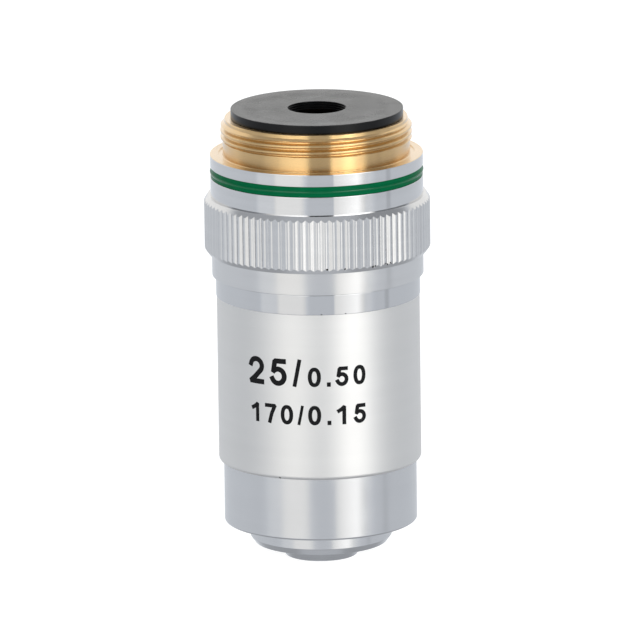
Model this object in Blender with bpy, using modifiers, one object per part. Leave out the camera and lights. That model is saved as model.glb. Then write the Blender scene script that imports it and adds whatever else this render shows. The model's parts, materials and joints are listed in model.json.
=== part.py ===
"""Microscope objective of the 20x class with a spring-loaded nose, as its separate pieces.

The frame has its origin at the centre of the shoulder that seats on the microscope's nosepiece.
+Z runs up the optical axis, through the mounting thread, so the front lens points down.
Every outline below is a list of corners (radius, height) or (radius, height, broken edge),
which runs down the outer side from top to bottom and back up the bore.
"""

import math

import bmesh
import bpy

MM = 0.001

# Fits, on each side of a joint
FIT = 0.05 * MM
SLIDE_FIT = 0.08 * MM
CEMENT = 0.04 * MM
EDGE = 0.12 * MM
CUT_SPARE = 0.5 * MM

# How finely the round pieces are faceted
OUTER_STEPS = 44
INNER_STEPS = 28
SCREW_STEPS = 16
LENS_RINGS = 4
RING_ARC_STEPS = 4

# Mounting thread (standard 0.8 inch objective thread) and the shoulder below it
THREAD_DIAMETER = 20.32 * MM
THREAD_LENGTH = 2.3 * MM
THREAD_LEAD_IN = 0.5 * MM
NECK_LENGTH = 1.6 * MM
NECK_UNDERCUT = 0.22 * MM
RELIEF_MARGIN = 0.29 * MM
RELIEF_DEPTH = 0.12 * MM
SEAT_WIDTH = 0.86 * MM

# Head of the mount body, with the groove for the colour ring
FLANGE_HEIGHT = 1.29 * MM
GROOVE_HEIGHT = 1.13 * MM
GROOVE_DEPTH = 0.54 * MM
CYLINDER_HEIGHT = 1.95 * MM
RING_PROUD = 0.03 * MM
RING_SHOULDER = 0.16 * MM
RING_CREST_HEIGHT = 0.5 * MM

# Bores of the mount body
THREAD_WALL = 1.56 * MM
LEDGE_WIDTH = 1.55 * MM
LEDGE_DEPTH = 6.4 * MM
SPIGOT_WALL = 2.2 * MM
SPIGOT_REACH = 1.0 * MM

# Rear stop, the black disc that closes the threaded end
REAR_STOP_RADIUS_STEP = 0.9 * MM
REAR_STOP_THICKNESS = 0.9 * MM
REAR_STOP_HOLE_DIAMETER = 6.16 * MM
REAR_STOP_SPIGOT = 1.7 * MM
REAR_STOP_WALL = 1.0 * MM

# Knurled collar
SKIRT_STEP = 0.04 * MM
SKIRT_LENGTH = 2.95 * MM
COLLAR_WALL = 0.67 * MM
KNURL_HEIGHT = 0.73 * MM
KNURL_LENGTH = 5.68 * MM
KNURL_BEVEL_WIDTH = 0.6 * MM
KNURL_BEVEL_HEIGHT = 0.55 * MM
KNURL_TEETH = 90
KNURL_DEPTH = 0.3 * MM
KNURL_CREST_SHARE = 0.3

# Outer sleeve
BARREL_STEP = 0.52 * MM
BARREL_LENGTH = 18.08 * MM
RIM_STEP = 0.08 * MM
RIM_LENGTH = 2.07 * MM
SLEEVE_NECK_LENGTH = 3.5 * MM
SLEEVE_WALL = 0.44 * MM
SLEEVE_CHAMFER_WIDTH = 0.35 * MM
SLEEVE_CHAMFER_HEIGHT = 0.5 * MM

# Nose shell
NOSE_REACH = 6.59 * MM
NOSE_SCREW_WALL = 1.9 * MM
NOSE_GUIDE_WALL = 0.95 * MM
NOSE_SCREW_LENGTH = 6.2 * MM
NOSE_FLOOR = 1.5 * MM
TRAVEL = 2.5 * MM

# Lens barrel, the sprung tube that carries every lens
TUBE_WALL = 1.5 * MM
TUBE_SCREW_DEPTH = 0.4 * MM
TUBE_END = 0.25 * MM
CELL_TUBE_WALL = 1.4 * MM
SPRING_FLANGE_HEIGHT = 1.5 * MM
SPRING_FLANGE_GAP = 0.35 * MM
STEP_WALL = 1.3 * MM

# Stop ring and the shim under it
STOP_RING_HEIGHT = 1.5 * MM
STOP_RING_GAP = 0.3 * MM
SPANNER_SLOT_WIDTH = 1.2 * MM
SPANNER_SLOT_DEPTH = 0.7 * MM
SHIM_THICKNESS = 0.3 * MM

# Guide screw, which keeps the barrel from turning
GUIDE_SCREW_DIAMETER = 1.8 * MM
GUIDE_DOG_DIAMETER = 1.3 * MM
GUIDE_SCREW_DROP = 1.8 * MM
GUIDE_SCREW_SUNK = 0.3 * MM
GUIDE_SLOT_DEPTH = 0.95 * MM
DRIVER_SLOT_WIDTH = 0.35 * MM
DRIVER_SLOT_DEPTH = 0.4 * MM

# Spring
SPRING_WIRE = 0.8 * MM
SPRING_TURNS = 4.6
SPRING_END_TURNS = 0.8
SPRING_END_PITCH = 1.15
SPRING_POINTS_PER_TURN = 14

# Front cell
FRONT_RING_STEP = 0.63 * MM
FRONT_RING_LENGTH = 1.79 * MM
FRONT_BEVEL_WIDTH = 0.49 * MM
FRONT_BEVEL_HEIGHT = 0.68 * MM
FRONT_CONE_HEIGHT = 0.64 * MM
TIP_DIAMETER = 7.74 * MM
TIP_TAPER = 0.18 * MM
TIP_HEIGHT = 0.9 * MM
FRONT_SPIGOT_LENGTH = 2.9 * MM
FRONT_SPIGOT_WALL = 1.6 * MM
FRONT_SPACER_THICKNESS = 0.3 * MM

# Lenses: diameter, centre thicknesses and curvature radii
FRONT_LENS_DIAMETER = 4.0 * MM
FRONT_LENS_EDGE = 0.6 * MM
FRONT_LENS_CURVE = 2.15 * MM
FRONT_LENS_RECESS = 0.1 * MM
FRONT_SEAT_WIDTH = 0.5 * MM
FRONT_SEAT_HEIGHT = 0.85 * MM
MIDDLE_LENS = {
    "diameter": 6.4 * MM,
    "crown": 2.4 * MM,
    "flint": 0.8 * MM,
    "back": 6.5 * MM,
    "joint": 5.5 * MM,
}
REAR_LENS = {
    "diameter": 8.4 * MM,
    "crown": 3.0 * MM,
    "flint": 0.9 * MM,
    "back": 8.5 * MM,
    "joint": 7.5 * MM,
}

# Lens cells and the rings between them
MIDDLE_CELL_HEIGHT = 3.2 * MM
REAR_CELL_HEIGHT = 4.0 * MM
CELL_LEDGE_HEIGHT = 0.5 * MM
CELL_LEDGE_WIDTH = 0.5 * MM
CELL_RELIEF_STEP = 0.4 * MM
REAR_SPACER_LENGTH = 2.5 * MM
SPACER_WALL = 1.2 * MM
LOCK_RING_HEIGHT = 1.2 * MM
LOCK_RING_GAP = 0.8 * MM

# Radii that follow from the sizes above
THREAD_RADIUS = THREAD_DIAMETER / 2
NECK_RADIUS = THREAD_RADIUS - NECK_UNDERCUT
RELIEF_RADIUS = THREAD_RADIUS + RELIEF_MARGIN
FLANGE_RADIUS = RELIEF_RADIUS + SEAT_WIDTH
GROOVE_RADIUS = FLANGE_RADIUS - GROOVE_DEPTH
SKIRT_RADIUS = FLANGE_RADIUS - SKIRT_STEP
KNURL_RADIUS = SKIRT_RADIUS + KNURL_HEIGHT
COLLAR_BORE = SKIRT_RADIUS - COLLAR_WALL
SPIGOT_RADIUS = COLLAR_BORE - FIT
BARREL_RADIUS = FLANGE_RADIUS - BARREL_STEP
SLEEVE_BORE = BARREL_RADIUS - SLEEVE_WALL
NOSE_RADIUS = SLEEVE_BORE - SLIDE_FIT
CHAMBER_RADIUS = THREAD_RADIUS - THREAD_WALL
GUIDE_BORE = CHAMBER_RADIUS - LEDGE_WIDTH
TUBE_RADIUS = GUIDE_BORE - FIT
TUNNEL_RADIUS = TUBE_RADIUS - TUBE_WALL
SPIGOT_THREAD_RADIUS = GUIDE_BORE + SPIGOT_WALL
CELL_TUBE_RADIUS = NOSE_RADIUS - NOSE_SCREW_WALL - FIT
CELL_BORE = CELL_TUBE_RADIUS - CELL_TUBE_WALL
CELL_RADIUS = CELL_BORE - FIT
FRONT_RING_RADIUS = CELL_BORE + FRONT_RING_STEP
SPRING_FLANGE_RADIUS = SLEEVE_BORE - SPRING_FLANGE_GAP
SPRING_RADIUS = (TUBE_RADIUS + SLEEVE_BORE) / 2

# Heights, from the mounting shoulder up and down
THREAD_TOP = NECK_LENGTH + THREAD_LENGTH
GROOVE_TOP = -FLANGE_HEIGHT
GROOVE_BOTTOM = GROOVE_TOP - GROOVE_HEIGHT
HEAD_BOTTOM = GROOVE_BOTTOM - CYLINDER_HEIGHT
COLLAR_TOP = HEAD_BOTTOM - FIT
KNURL_BOTTOM = COLLAR_TOP - KNURL_LENGTH
COLLAR_BOTTOM = KNURL_BOTTOM - SKIRT_LENGTH
RIM_TOP = COLLAR_BOTTOM - FIT
SLEEVE_TOP = RIM_TOP + SLEEVE_NECK_LENGTH
SPIGOT_STEP = SLEEVE_TOP + FIT
SPIGOT_BOTTOM = RIM_TOP - SPIGOT_REACH
SLEEVE_BOTTOM = RIM_TOP - RIM_LENGTH - BARREL_LENGTH
NOSE_BOTTOM = SLEEVE_BOTTOM - NOSE_REACH
LEDGE_TOP = -LEDGE_DEPTH
SHIM_TOP = LEDGE_TOP + FIT + SHIM_THICKNESS
STOP_RING_BOTTOM = SHIM_TOP + FIT
TUBE_TOP = STOP_RING_BOTTOM + STOP_RING_HEIGHT + TUBE_END
CELL_TUBE_BOTTOM = NOSE_BOTTOM + NOSE_FLOOR + FIT
FRONT_RING_TOP = CELL_TUBE_BOTTOM - 2 * FIT - FRONT_SPACER_THICKNESS
FRONT_SPIGOT_TOP = CELL_TUBE_BOTTOM + FRONT_SPIGOT_LENGTH
LOCK_RING_BOTTOM = FRONT_SPIGOT_TOP + LOCK_RING_GAP
MIDDLE_CELL_BOTTOM = LOCK_RING_BOTTOM + LOCK_RING_HEIGHT + FIT
REAR_SPACER_BOTTOM = MIDDLE_CELL_BOTTOM + MIDDLE_CELL_HEIGHT + FIT
REAR_CELL_BOTTOM = REAR_SPACER_BOTTOM + REAR_SPACER_LENGTH + FIT
CELL_STEP = REAR_CELL_BOTTOM + REAR_CELL_HEIGHT + FIT
SPRING_SEAT = CELL_STEP + STEP_WALL
SPRING_FLANGE_BOTTOM = SPRING_SEAT - SPRING_FLANGE_HEIGHT
FRONT_RING_BOTTOM = NOSE_BOTTOM - FRONT_RING_LENGTH
FRONT_BEVEL_BOTTOM = FRONT_RING_BOTTOM - FRONT_BEVEL_HEIGHT
TIP_TOP = FRONT_BEVEL_BOTTOM - FRONT_CONE_HEIGHT
TIP_BOTTOM = TIP_TOP - TIP_HEIGHT
GUIDE_SCREW_Z = LEDGE_TOP - GUIDE_SCREW_DROP


def clear_scene():
    """Remove what the start-up scene holds."""
    for item in list(bpy.data.objects):
        bpy.data.objects.remove(item, do_unlink=True)


def new_collection(name):
    collection = bpy.data.collections.new(name)
    bpy.context.scene.collection.children.link(collection)
    return collection


def linear(level):
    """One sRGB level, 0 to 255, as linear light."""
    share = level / 255
    if share <= 0.04045:
        return share / 12.92
    return ((share + 0.055) / 1.055) ** 2.4


def finish(name, colour, roughness, metallic=0.0, transmission=0.0):
    """A Principled material from an sRGB colour of 0 to 255 levels."""
    material = bpy.data.materials.new(name)
    material.use_nodes = True
    shader = material.node_tree.nodes["Principled BSDF"]
    rgba = tuple(linear(level) for level in colour) + (1.0,)
    shader.inputs["Base Color"].default_value = rgba
    shader.inputs["Roughness"].default_value = roughness
    shader.inputs["Metallic"].default_value = metallic
    shader.inputs["Transmission Weight"].default_value = transmission
    material.diffuse_color = rgba
    return material


def with_broken_edges(outline, closed):
    """Replace each corner that has a third value by two points that far along its two sides."""
    points = []
    count = len(outline)
    for index, corner in enumerate(outline):
        radius, height = corner[0], corner[1]
        size = corner[2] if len(corner) > 2 else 0.0
        is_end = not closed and index in (0, count - 1)
        if size <= 0.0 or is_end:
            points.append((radius, height))
            continue
        for neighbour in (outline[index - 1], outline[(index + 1) % count]):
            run = neighbour[0] - radius
            rise = neighbour[1] - height
            share = size / math.hypot(run, rise)
            points.append((radius + run * share, height + rise * share))
    return points


def turned(name, outline, material, steps=OUTER_STEPS, closed=True, base=0.0):
    """Turn an outline about Z. Heights are measured from base, where the object is placed."""
    points = with_broken_edges(outline, closed)
    mesh = bpy.data.meshes.new(name)
    edges = [(index, index + 1) for index in range(len(points) - 1)]
    if closed:
        edges.append((len(points) - 1, 0))
    mesh.from_pydata([(radius, 0.0, height) for radius, height in points], edges, [])
    piece = bpy.data.objects.new(name, mesh)
    piece.location.z = base
    screw = piece.modifiers.new("turn", "SCREW")
    screw.axis = "Z"
    screw.angle = 2 * math.pi
    screw.steps = steps
    screw.render_steps = steps
    screw.use_merge_vertices = True
    screw.merge_threshold = 0.00001
    screw.use_smooth_shade = True
    if material is not None:
        mesh.materials.append(material)
    return piece


def place(piece, collection, parent=None):
    collection.objects.link(piece)
    piece.parent = parent
    return piece


def as_cutter(cutter, collection):
    """Keep a cutting shape in its own collection, unseen."""
    collection.objects.link(cutter)
    cutter.hide_render = True
    cutter.display_type = "WIRE"
    return cutter


def cut(piece, cutter, operation="DIFFERENCE"):
    modifier = piece.modifiers.new(cutter.name, "BOOLEAN")
    modifier.operation = operation
    modifier.solver = "EXACT"
    modifier.object = cutter


def box_shape(name, size, centre):
    """A box of the given size about its centre."""
    mesh = bpy.data.meshes.new(name)
    shape = bmesh.new()
    bmesh.ops.create_cube(shape, size=1.0)
    bmesh.ops.scale(shape, vec=size, verts=shape.verts)
    shape.to_mesh(mesh)
    shape.free()
    box = bpy.data.objects.new(name, mesh)
    box.location = centre
    return box


def rod_shape(name, radius, length, centre):
    """A rod along Y of the given length about its centre."""
    mesh = bpy.data.meshes.new(name)
    shape = bmesh.new()
    bmesh.ops.create_cone(
        shape, cap_ends=True, segments=SCREW_STEPS, radius1=radius, radius2=radius, depth=length
    )
    shape.to_mesh(mesh)
    shape.free()
    rod = bpy.data.objects.new(name, mesh)
    rod.location = centre
    rod.rotation_euler.x = math.pi / 2
    return rod


def settle(piece):
    """Apply the modifiers, then shade smooth with sharp edges kept by their angle."""
    graph = bpy.context.evaluated_depsgraph_get()
    mesh = bpy.data.meshes.new_from_object(piece.evaluated_get(graph))
    piece.modifiers.clear()
    piece.data = mesh
    mesh.name = piece.name
    mesh.shade_smooth()
    mesh.set_sharp_from_angle(angle=math.radians(30))


def mount_body(collection, cutters, material):
    """Brass body: mounting thread, shoulder, grooved head and the spigot that holds the rest."""
    outline = [
        (THREAD_RADIUS, THREAD_TOP, THREAD_LEAD_IN),
        (THREAD_RADIUS, NECK_LENGTH),
        (NECK_RADIUS, NECK_LENGTH - NECK_UNDERCUT),
        (NECK_RADIUS, -RELIEF_DEPTH),
        (RELIEF_RADIUS, -RELIEF_DEPTH),
        (RELIEF_RADIUS, 0.0),
        (FLANGE_RADIUS, 0.0, EDGE),
        (FLANGE_RADIUS, GROOVE_TOP),
        (GROOVE_RADIUS, GROOVE_TOP),
        (GROOVE_RADIUS, GROOVE_BOTTOM),
        (FLANGE_RADIUS, GROOVE_BOTTOM),
        (FLANGE_RADIUS, HEAD_BOTTOM, EDGE),
        (SPIGOT_RADIUS, HEAD_BOTTOM),
        (SPIGOT_RADIUS, SPIGOT_STEP),
        (SPIGOT_THREAD_RADIUS, SPIGOT_STEP),
        (SPIGOT_THREAD_RADIUS, SPIGOT_BOTTOM),
        (GUIDE_BORE, SPIGOT_BOTTOM),
        (GUIDE_BORE, LEDGE_TOP),
        (CHAMBER_RADIUS, LEDGE_TOP),
        (CHAMBER_RADIUS, THREAD_TOP),
    ]
    body = place(turned("mount_body", outline, material), collection)
    wall = SPIGOT_RADIUS - GUIDE_BORE
    middle = (SPIGOT_RADIUS + GUIDE_BORE) / 2
    hole = rod_shape(
        "guide_screw_hole",
        GUIDE_SCREW_DIAMETER / 2 + FIT,
        wall + CUT_SPARE,
        (0.0, middle, GUIDE_SCREW_Z),
    )
    cut(body, as_cutter(hole, cutters))
    return body


def colour_ring(collection, material):
    """Enamelled ring that fills the groove and stands a little proud of it, fullest near its foot."""
    inner = GROOVE_RADIUS + FIT
    top = GROOVE_HEIGHT - FIT
    edge = FLANGE_RADIUS + RING_PROUD - RING_SHOULDER
    outline = []
    for step in range(RING_ARC_STEPS + 1):
        angle = math.pi * (0.5 - step / RING_ARC_STEPS)
        reach = top - RING_CREST_HEIGHT if angle > 0 else RING_CREST_HEIGHT - FIT
        radius = edge + RING_SHOULDER * math.cos(angle)
        outline.append((radius, RING_CREST_HEIGHT + reach * math.sin(angle)))
    outline += [(inner, FIT), (inner, top)]
    return place(turned("colour_ring", outline, material, base=GROOVE_BOTTOM), collection)


def rear_stop(collection, material):
    """Black disc with the rear aperture, screwed into the threaded end by its rim."""
    rim = THREAD_RADIUS - REAR_STOP_RADIUS_STEP
    hole = REAR_STOP_HOLE_DIAMETER / 2
    screw = CHAMBER_RADIUS - FIT
    outline = [
        (rim, FIT + REAR_STOP_THICKNESS, EDGE),
        (rim, FIT),
        (screw, FIT),
        (screw, -REAR_STOP_SPIGOT),
        (screw - REAR_STOP_WALL, -REAR_STOP_SPIGOT),
        (screw - REAR_STOP_WALL, FIT),
        (hole, FIT),
        (hole, FIT + REAR_STOP_THICKNESS, EDGE),
    ]
    return place(turned("rear_stop", outline, material, base=THREAD_TOP), collection)


def toothed_prism(cutters):
    """Flat toothed outline, extruded past both ends of the collar: crest, crest, root for each tooth."""
    pitch = 2 * math.pi / KNURL_TEETH
    half_crest = pitch * KNURL_CREST_SHARE / 2
    points = []
    for tooth in range(KNURL_TEETH):
        middle = tooth * pitch
        points.append((KNURL_RADIUS, middle - half_crest))
        points.append((KNURL_RADIUS, middle + half_crest))
        points.append((KNURL_RADIUS - KNURL_DEPTH, middle + pitch / 2))
    curve = bpy.data.curves.new("knurl_outline", "CURVE")
    curve.dimensions = "2D"
    curve.fill_mode = "BOTH"
    curve.extrude = KNURL_LENGTH + SKIRT_LENGTH
    spline = curve.splines.new("POLY")
    spline.points.add(len(points) - 1)
    for point, (radius, angle) in zip(spline.points, points):
        point.co = (radius * math.cos(angle), radius * math.sin(angle), 0.0, 1.0)
    spline.use_cyclic_u = True
    outline = bpy.data.objects.new("knurl_outline", curve)
    outline.location.z = KNURL_BOTTOM
    cutters.objects.link(outline)
    bpy.context.view_layer.update()
    graph = bpy.context.evaluated_depsgraph_get()
    mesh = bpy.data.meshes.new_from_object(outline.evaluated_get(graph))
    welded = bmesh.new()
    welded.from_mesh(mesh)
    bmesh.ops.remove_doubles(welded, verts=welded.verts, dist=0.000001)
    welded.to_mesh(mesh)
    welded.free()
    prism = bpy.data.objects.new("knurl_teeth", mesh)
    prism.matrix_world = outline.matrix_world
    bpy.data.objects.remove(outline, do_unlink=True)
    return as_cutter(prism, cutters)


def knurled_collar(collection, cutters, material):
    """Grip ring trapped between head and sleeve: a turned blank met by the toothed prism."""
    spare = KNURL_HEIGHT / 2
    slope = KNURL_BEVEL_HEIGHT / KNURL_BEVEL_WIDTH
    blank = KNURL_RADIUS + spare
    outline = [
        (KNURL_RADIUS - KNURL_BEVEL_WIDTH, 0.0),
        (blank, -KNURL_BEVEL_HEIGHT - spare * slope),
        (blank, -KNURL_LENGTH),
        (SKIRT_RADIUS, -KNURL_LENGTH),
        (SKIRT_RADIUS, -KNURL_LENGTH - SKIRT_LENGTH, EDGE),
        (COLLAR_BORE, -KNURL_LENGTH - SKIRT_LENGTH),
        (COLLAR_BORE, 0.0),
    ]
    collar = place(turned("knurled_collar", outline, material, base=COLLAR_TOP), collection)
    cut(collar, toothed_prism(cutters), "INTERSECT")
    return collar


def outer_sleeve(collection, material):
    """Long sleeve: a neck screwed on the spigot, a polished rim and the satin barrel."""
    rim = BARREL_RADIUS + RIM_STEP
    bottom = -RIM_LENGTH - BARREL_LENGTH
    outline = [
        (SPIGOT_RADIUS, SLEEVE_NECK_LENGTH),
        (SPIGOT_RADIUS, 0.0),
        (rim, 0.0, EDGE),
        (rim, -RIM_LENGTH),
        (BARREL_RADIUS, -RIM_LENGTH),
        (BARREL_RADIUS, bottom + SLEEVE_CHAMFER_HEIGHT),
        (BARREL_RADIUS - SLEEVE_CHAMFER_WIDTH, bottom),
        (SLEEVE_BORE, bottom),
        (SLEEVE_BORE, -SPIGOT_REACH),
        (SPIGOT_THREAD_RADIUS + FIT, -SPIGOT_REACH),
        (SPIGOT_THREAD_RADIUS + FIT, SLEEVE_NECK_LENGTH),
    ]
    return place(turned("outer_sleeve", outline, material, base=RIM_TOP), collection)


def parfocal_shim(collection, material):
    """Thin brass washer on the ledge, which sets how far the nose reaches."""
    outline = [
        (CHAMBER_RADIUS - 2 * FIT, SHIM_THICKNESS),
        (CHAMBER_RADIUS - 2 * FIT, 0.0),
        (GUIDE_BORE + FIT, 0.0),
        (GUIDE_BORE + FIT, SHIM_THICKNESS),
    ]
    piece = turned("parfocal_shim", outline, material, steps=INNER_STEPS, base=LEDGE_TOP + FIT)
    return place(piece, collection)


def guide_screw(collection, cutters, material):
    """Dog screw through the spigot wall, turned upright and laid along +Y, head outwards."""
    radius = GUIDE_SCREW_DIAMETER / 2
    dog = GUIDE_DOG_DIAMETER / 2
    head = SPIGOT_RADIUS - GUIDE_SCREW_SUNK
    shank = GUIDE_BORE + FIT
    tip = TUBE_RADIUS - GUIDE_SLOT_DEPTH + 2 * FIT
    outline = [
        (0.0, head),
        (radius, head, EDGE),
        (radius, shank),
        (dog, shank),
        (dog, tip, EDGE),
        (0.0, tip),
    ]
    screw = turned(
        "guide_screw", outline, material, steps=SCREW_STEPS, closed=False, base=GUIDE_SCREW_Z
    )
    screw.rotation_euler.x = -math.pi / 2
    place(screw, collection)
    slot = box_shape(
        "driver_slot",
        (4 * radius, 2 * DRIVER_SLOT_DEPTH, DRIVER_SLOT_WIDTH),
        (0.0, head, GUIDE_SCREW_Z),
    )
    cut(screw, as_cutter(slot, cutters))
    return screw


def coil_height(turn):
    """Height along the spring at a turn: close end turns, with an even pitch between them."""
    wire_rise = SPRING_WIRE * SPRING_END_PITCH
    length = SPIGOT_BOTTOM - SPRING_SEAT - 2 * FIT - SPRING_WIRE
    end_rise = SPRING_END_TURNS * wire_rise
    middle_turns = SPRING_TURNS - 2 * SPRING_END_TURNS
    if turn <= SPRING_END_TURNS:
        return turn * wire_rise
    if turn >= SPRING_TURNS - SPRING_END_TURNS:
        return length - (SPRING_TURNS - turn) * wire_rise
    share = (turn - SPRING_END_TURNS) / middle_turns
    return end_rise + share * (length - 2 * end_rise)


def spring(collection, material):
    """Compression spring round the barrel, between the spigot and the barrel's flange."""
    curve = bpy.data.curves.new("spring", "CURVE")
    curve.dimensions = "3D"
    curve.bevel_depth = SPRING_WIRE / 2
    curve.bevel_resolution = 2
    curve.use_fill_caps = True
    count = round(SPRING_TURNS * SPRING_POINTS_PER_TURN)
    path = curve.splines.new("POLY")
    path.points.add(count)
    for index, point in enumerate(path.points):
        turn = SPRING_TURNS * index / count
        angle = 2 * math.pi * turn
        x = SPRING_RADIUS * math.cos(angle)
        y = SPRING_RADIUS * math.sin(angle)
        point.co = (x, y, coil_height(turn), 1.0)
    curve.materials.append(material)
    piece = bpy.data.objects.new("spring", curve)
    piece.location.z = SPRING_SEAT + FIT + SPRING_WIRE / 2
    return place(piece, collection)


def nose_shell(collection, parent, material):
    """Polished shell that slides in the sleeve and screws on the lower end of the barrel."""
    top = SPRING_FLANGE_BOTTOM - FIT - NOSE_BOTTOM
    screw_bore = CELL_TUBE_RADIUS + FIT
    outline = [
        (NOSE_RADIUS, top),
        (NOSE_RADIUS, 0.0, EDGE / 2),
        (FRONT_RING_RADIUS + FIT, 0.0),
        (FRONT_RING_RADIUS + FIT, NOSE_FLOOR),
        (screw_bore, NOSE_FLOOR),
        (screw_bore, NOSE_SCREW_LENGTH),
        (NOSE_RADIUS - NOSE_GUIDE_WALL, NOSE_SCREW_LENGTH),
        (NOSE_RADIUS - NOSE_GUIDE_WALL, top),
    ]
    return place(turned("nose_shell", outline, material, base=NOSE_BOTTOM), collection, parent)


def lens_barrel(collection, cutters, parent, material):
    """Sprung tube: cell bore below, light tunnel above, a flange for the spring and a guide slot."""
    outline = [
        (TUBE_RADIUS - TUBE_SCREW_DEPTH, TUBE_TOP, EDGE),
        (TUBE_RADIUS - TUBE_SCREW_DEPTH, SHIM_TOP),
        (TUBE_RADIUS, SHIM_TOP),
        (TUBE_RADIUS, SPRING_SEAT),
        (SPRING_FLANGE_RADIUS, SPRING_SEAT, EDGE),
        (SPRING_FLANGE_RADIUS, SPRING_FLANGE_BOTTOM),
        (CELL_TUBE_RADIUS, SPRING_FLANGE_BOTTOM),
        (CELL_TUBE_RADIUS, CELL_TUBE_BOTTOM, EDGE),
        (CELL_BORE, CELL_TUBE_BOTTOM),
        (CELL_BORE, CELL_STEP),
        (TUNNEL_RADIUS, CELL_STEP),
        (TUNNEL_RADIUS, TUBE_TOP),
    ]
    barrel = place(turned("lens_barrel", outline, material), collection, parent)
    reach = GUIDE_DOG_DIAMETER / 2 + 2 * FIT
    top = GUIDE_SCREW_Z + reach
    bottom = GUIDE_SCREW_Z - TRAVEL - reach
    depth = 2 * GUIDE_SLOT_DEPTH
    slot = box_shape(
        "guide_slot",
        (GUIDE_DOG_DIAMETER + 2 * FIT, depth, top - bottom),
        (0.0, TUBE_RADIUS, (top + bottom) / 2),
    )
    cut(barrel, as_cutter(slot, cutters))
    return barrel


def spanner_slots(name, radius, height, cutters):
    """One bar across a ring, which leaves two slots for a pin spanner in its top or foot."""
    size = (4 * radius, SPANNER_SLOT_WIDTH, 2 * SPANNER_SLOT_DEPTH)
    return as_cutter(box_shape(name, size, (0.0, 0.0, height)), cutters)


def stop_ring(collection, cutters, parent, material):
    """Ring screwed on the barrel's top. It lands on the shim and stops the nose at rest."""
    bore = TUBE_RADIUS - TUBE_SCREW_DEPTH + FIT
    outline = [
        (CHAMBER_RADIUS - STOP_RING_GAP, STOP_RING_HEIGHT, EDGE),
        (CHAMBER_RADIUS - STOP_RING_GAP, 0.0),
        (bore, 0.0),
        (bore, STOP_RING_HEIGHT),
    ]
    ring = turned("stop_ring", outline, material, base=STOP_RING_BOTTOM)
    place(ring, collection, parent)
    top = STOP_RING_BOTTOM + STOP_RING_HEIGHT
    cut(ring, spanner_slots("stop_ring_slots", CHAMBER_RADIUS, top, cutters))
    return ring


def sag(curve, radius):
    """Depth of a sphere of that curvature radius over a disc of that radius."""
    return curve - math.sqrt(curve * curve - radius * radius)


def arc(curve, radius, vertex, up):
    """Points from the axis to the rim of a spherical face whose vertex is at that height."""
    sign = 1.0 if up else -1.0
    steps = range(LENS_RINGS + 1)
    radii = [radius * step / LENS_RINGS for step in steps]
    return [(r, vertex + sign * sag(curve, r)) for r in radii]


def doublet_edge(lens):
    """Edge thickness of the crown and of the flint."""
    radius = lens["diameter"] / 2
    crown = lens["crown"] - sag(lens["back"], radius) - sag(lens["joint"], radius)
    return crown, lens["flint"] + sag(lens["joint"], radius)


def doublet(prefix, lens, seat, collection, parent, crown_glass, flint_glass):
    """Cemented pair: a flat-footed flint that seats on the cell, and a crown with two bulged faces."""
    radius = lens["diameter"] / 2
    flint_top = lens["flint"]
    joint = arc(lens["joint"], radius, flint_top, up=True)
    flint_outline = joint + [(radius, 0.0), (0.0, 0.0)]
    flint = turned(
        prefix + "_flint", flint_outline, flint_glass, steps=INNER_STEPS, closed=False, base=seat
    )
    place(flint, collection, parent)
    back = arc(lens["back"], radius, CEMENT + flint_top + lens["crown"], up=False)
    front = arc(lens["joint"], radius, CEMENT + flint_top, up=True)
    crown_outline = back + front[::-1]
    crown = turned(
        prefix + "_crown", crown_outline, crown_glass, steps=INNER_STEPS, closed=False, base=seat
    )
    place(crown, collection, parent)


def lens_cell(name, lens, height, base, collection, parent, material):
    """Turned cell with a ledge below the lens, and a wider bore above its edge."""
    bore = lens["diameter"] / 2 + FIT
    edge = sum(doublet_edge(lens)) + CEMENT
    lip = CELL_LEDGE_HEIGHT + FIT + edge
    outline = [
        (CELL_RADIUS, height),
        (CELL_RADIUS, 0.0),
        (bore - CELL_LEDGE_WIDTH, 0.0),
        (bore - CELL_LEDGE_WIDTH, CELL_LEDGE_HEIGHT),
        (bore, CELL_LEDGE_HEIGHT),
        (bore, lip),
        (bore + CELL_RELIEF_STEP, height),
    ]
    piece = turned(name, outline, material, steps=INNER_STEPS, base=base)
    return place(piece, collection, parent)


def plain_ring(name, outer, inner, height, base, collection, parent, material):
    outline = [(outer, height), (outer, 0.0), (inner, 0.0), (inner, height)]
    piece = turned(name, outline, material, steps=INNER_STEPS, base=base)
    return place(piece, collection, parent)


def front_cell(collection, parent, material):
    """Visible front of the nose: ring, bevel, shallow cone and the blunt tip round the front lens."""
    tip = TIP_DIAMETER / 2
    bore = FRONT_LENS_DIAMETER / 2 + FIT
    seat_foot = TIP_BOTTOM + FRONT_LENS_RECESS + FRONT_LENS_EDGE + FIT
    seat_top = seat_foot + FRONT_SEAT_HEIGHT
    spigot_bore = CELL_RADIUS - FRONT_SPIGOT_WALL
    outline = [
        (CELL_RADIUS, FRONT_SPIGOT_TOP, EDGE),
        (CELL_RADIUS, FRONT_RING_TOP),
        (FRONT_RING_RADIUS, FRONT_RING_TOP),
        (FRONT_RING_RADIUS, FRONT_RING_BOTTOM),
        (FRONT_RING_RADIUS - FRONT_BEVEL_WIDTH, FRONT_BEVEL_BOTTOM),
        (tip + TIP_TAPER, TIP_TOP),
        (tip, TIP_BOTTOM, EDGE / 2),
        (bore, TIP_BOTTOM),
        (bore, seat_foot),
        (bore - FRONT_SEAT_WIDTH, seat_top),
        (spigot_bore, FRONT_RING_TOP),
        (spigot_bore, FRONT_SPIGOT_TOP),
    ]
    outline = [(point[0], point[1] - NOSE_BOTTOM, *point[2:]) for point in outline]
    return place(turned("front_cell", outline, material, base=NOSE_BOTTOM), collection, parent)


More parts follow.
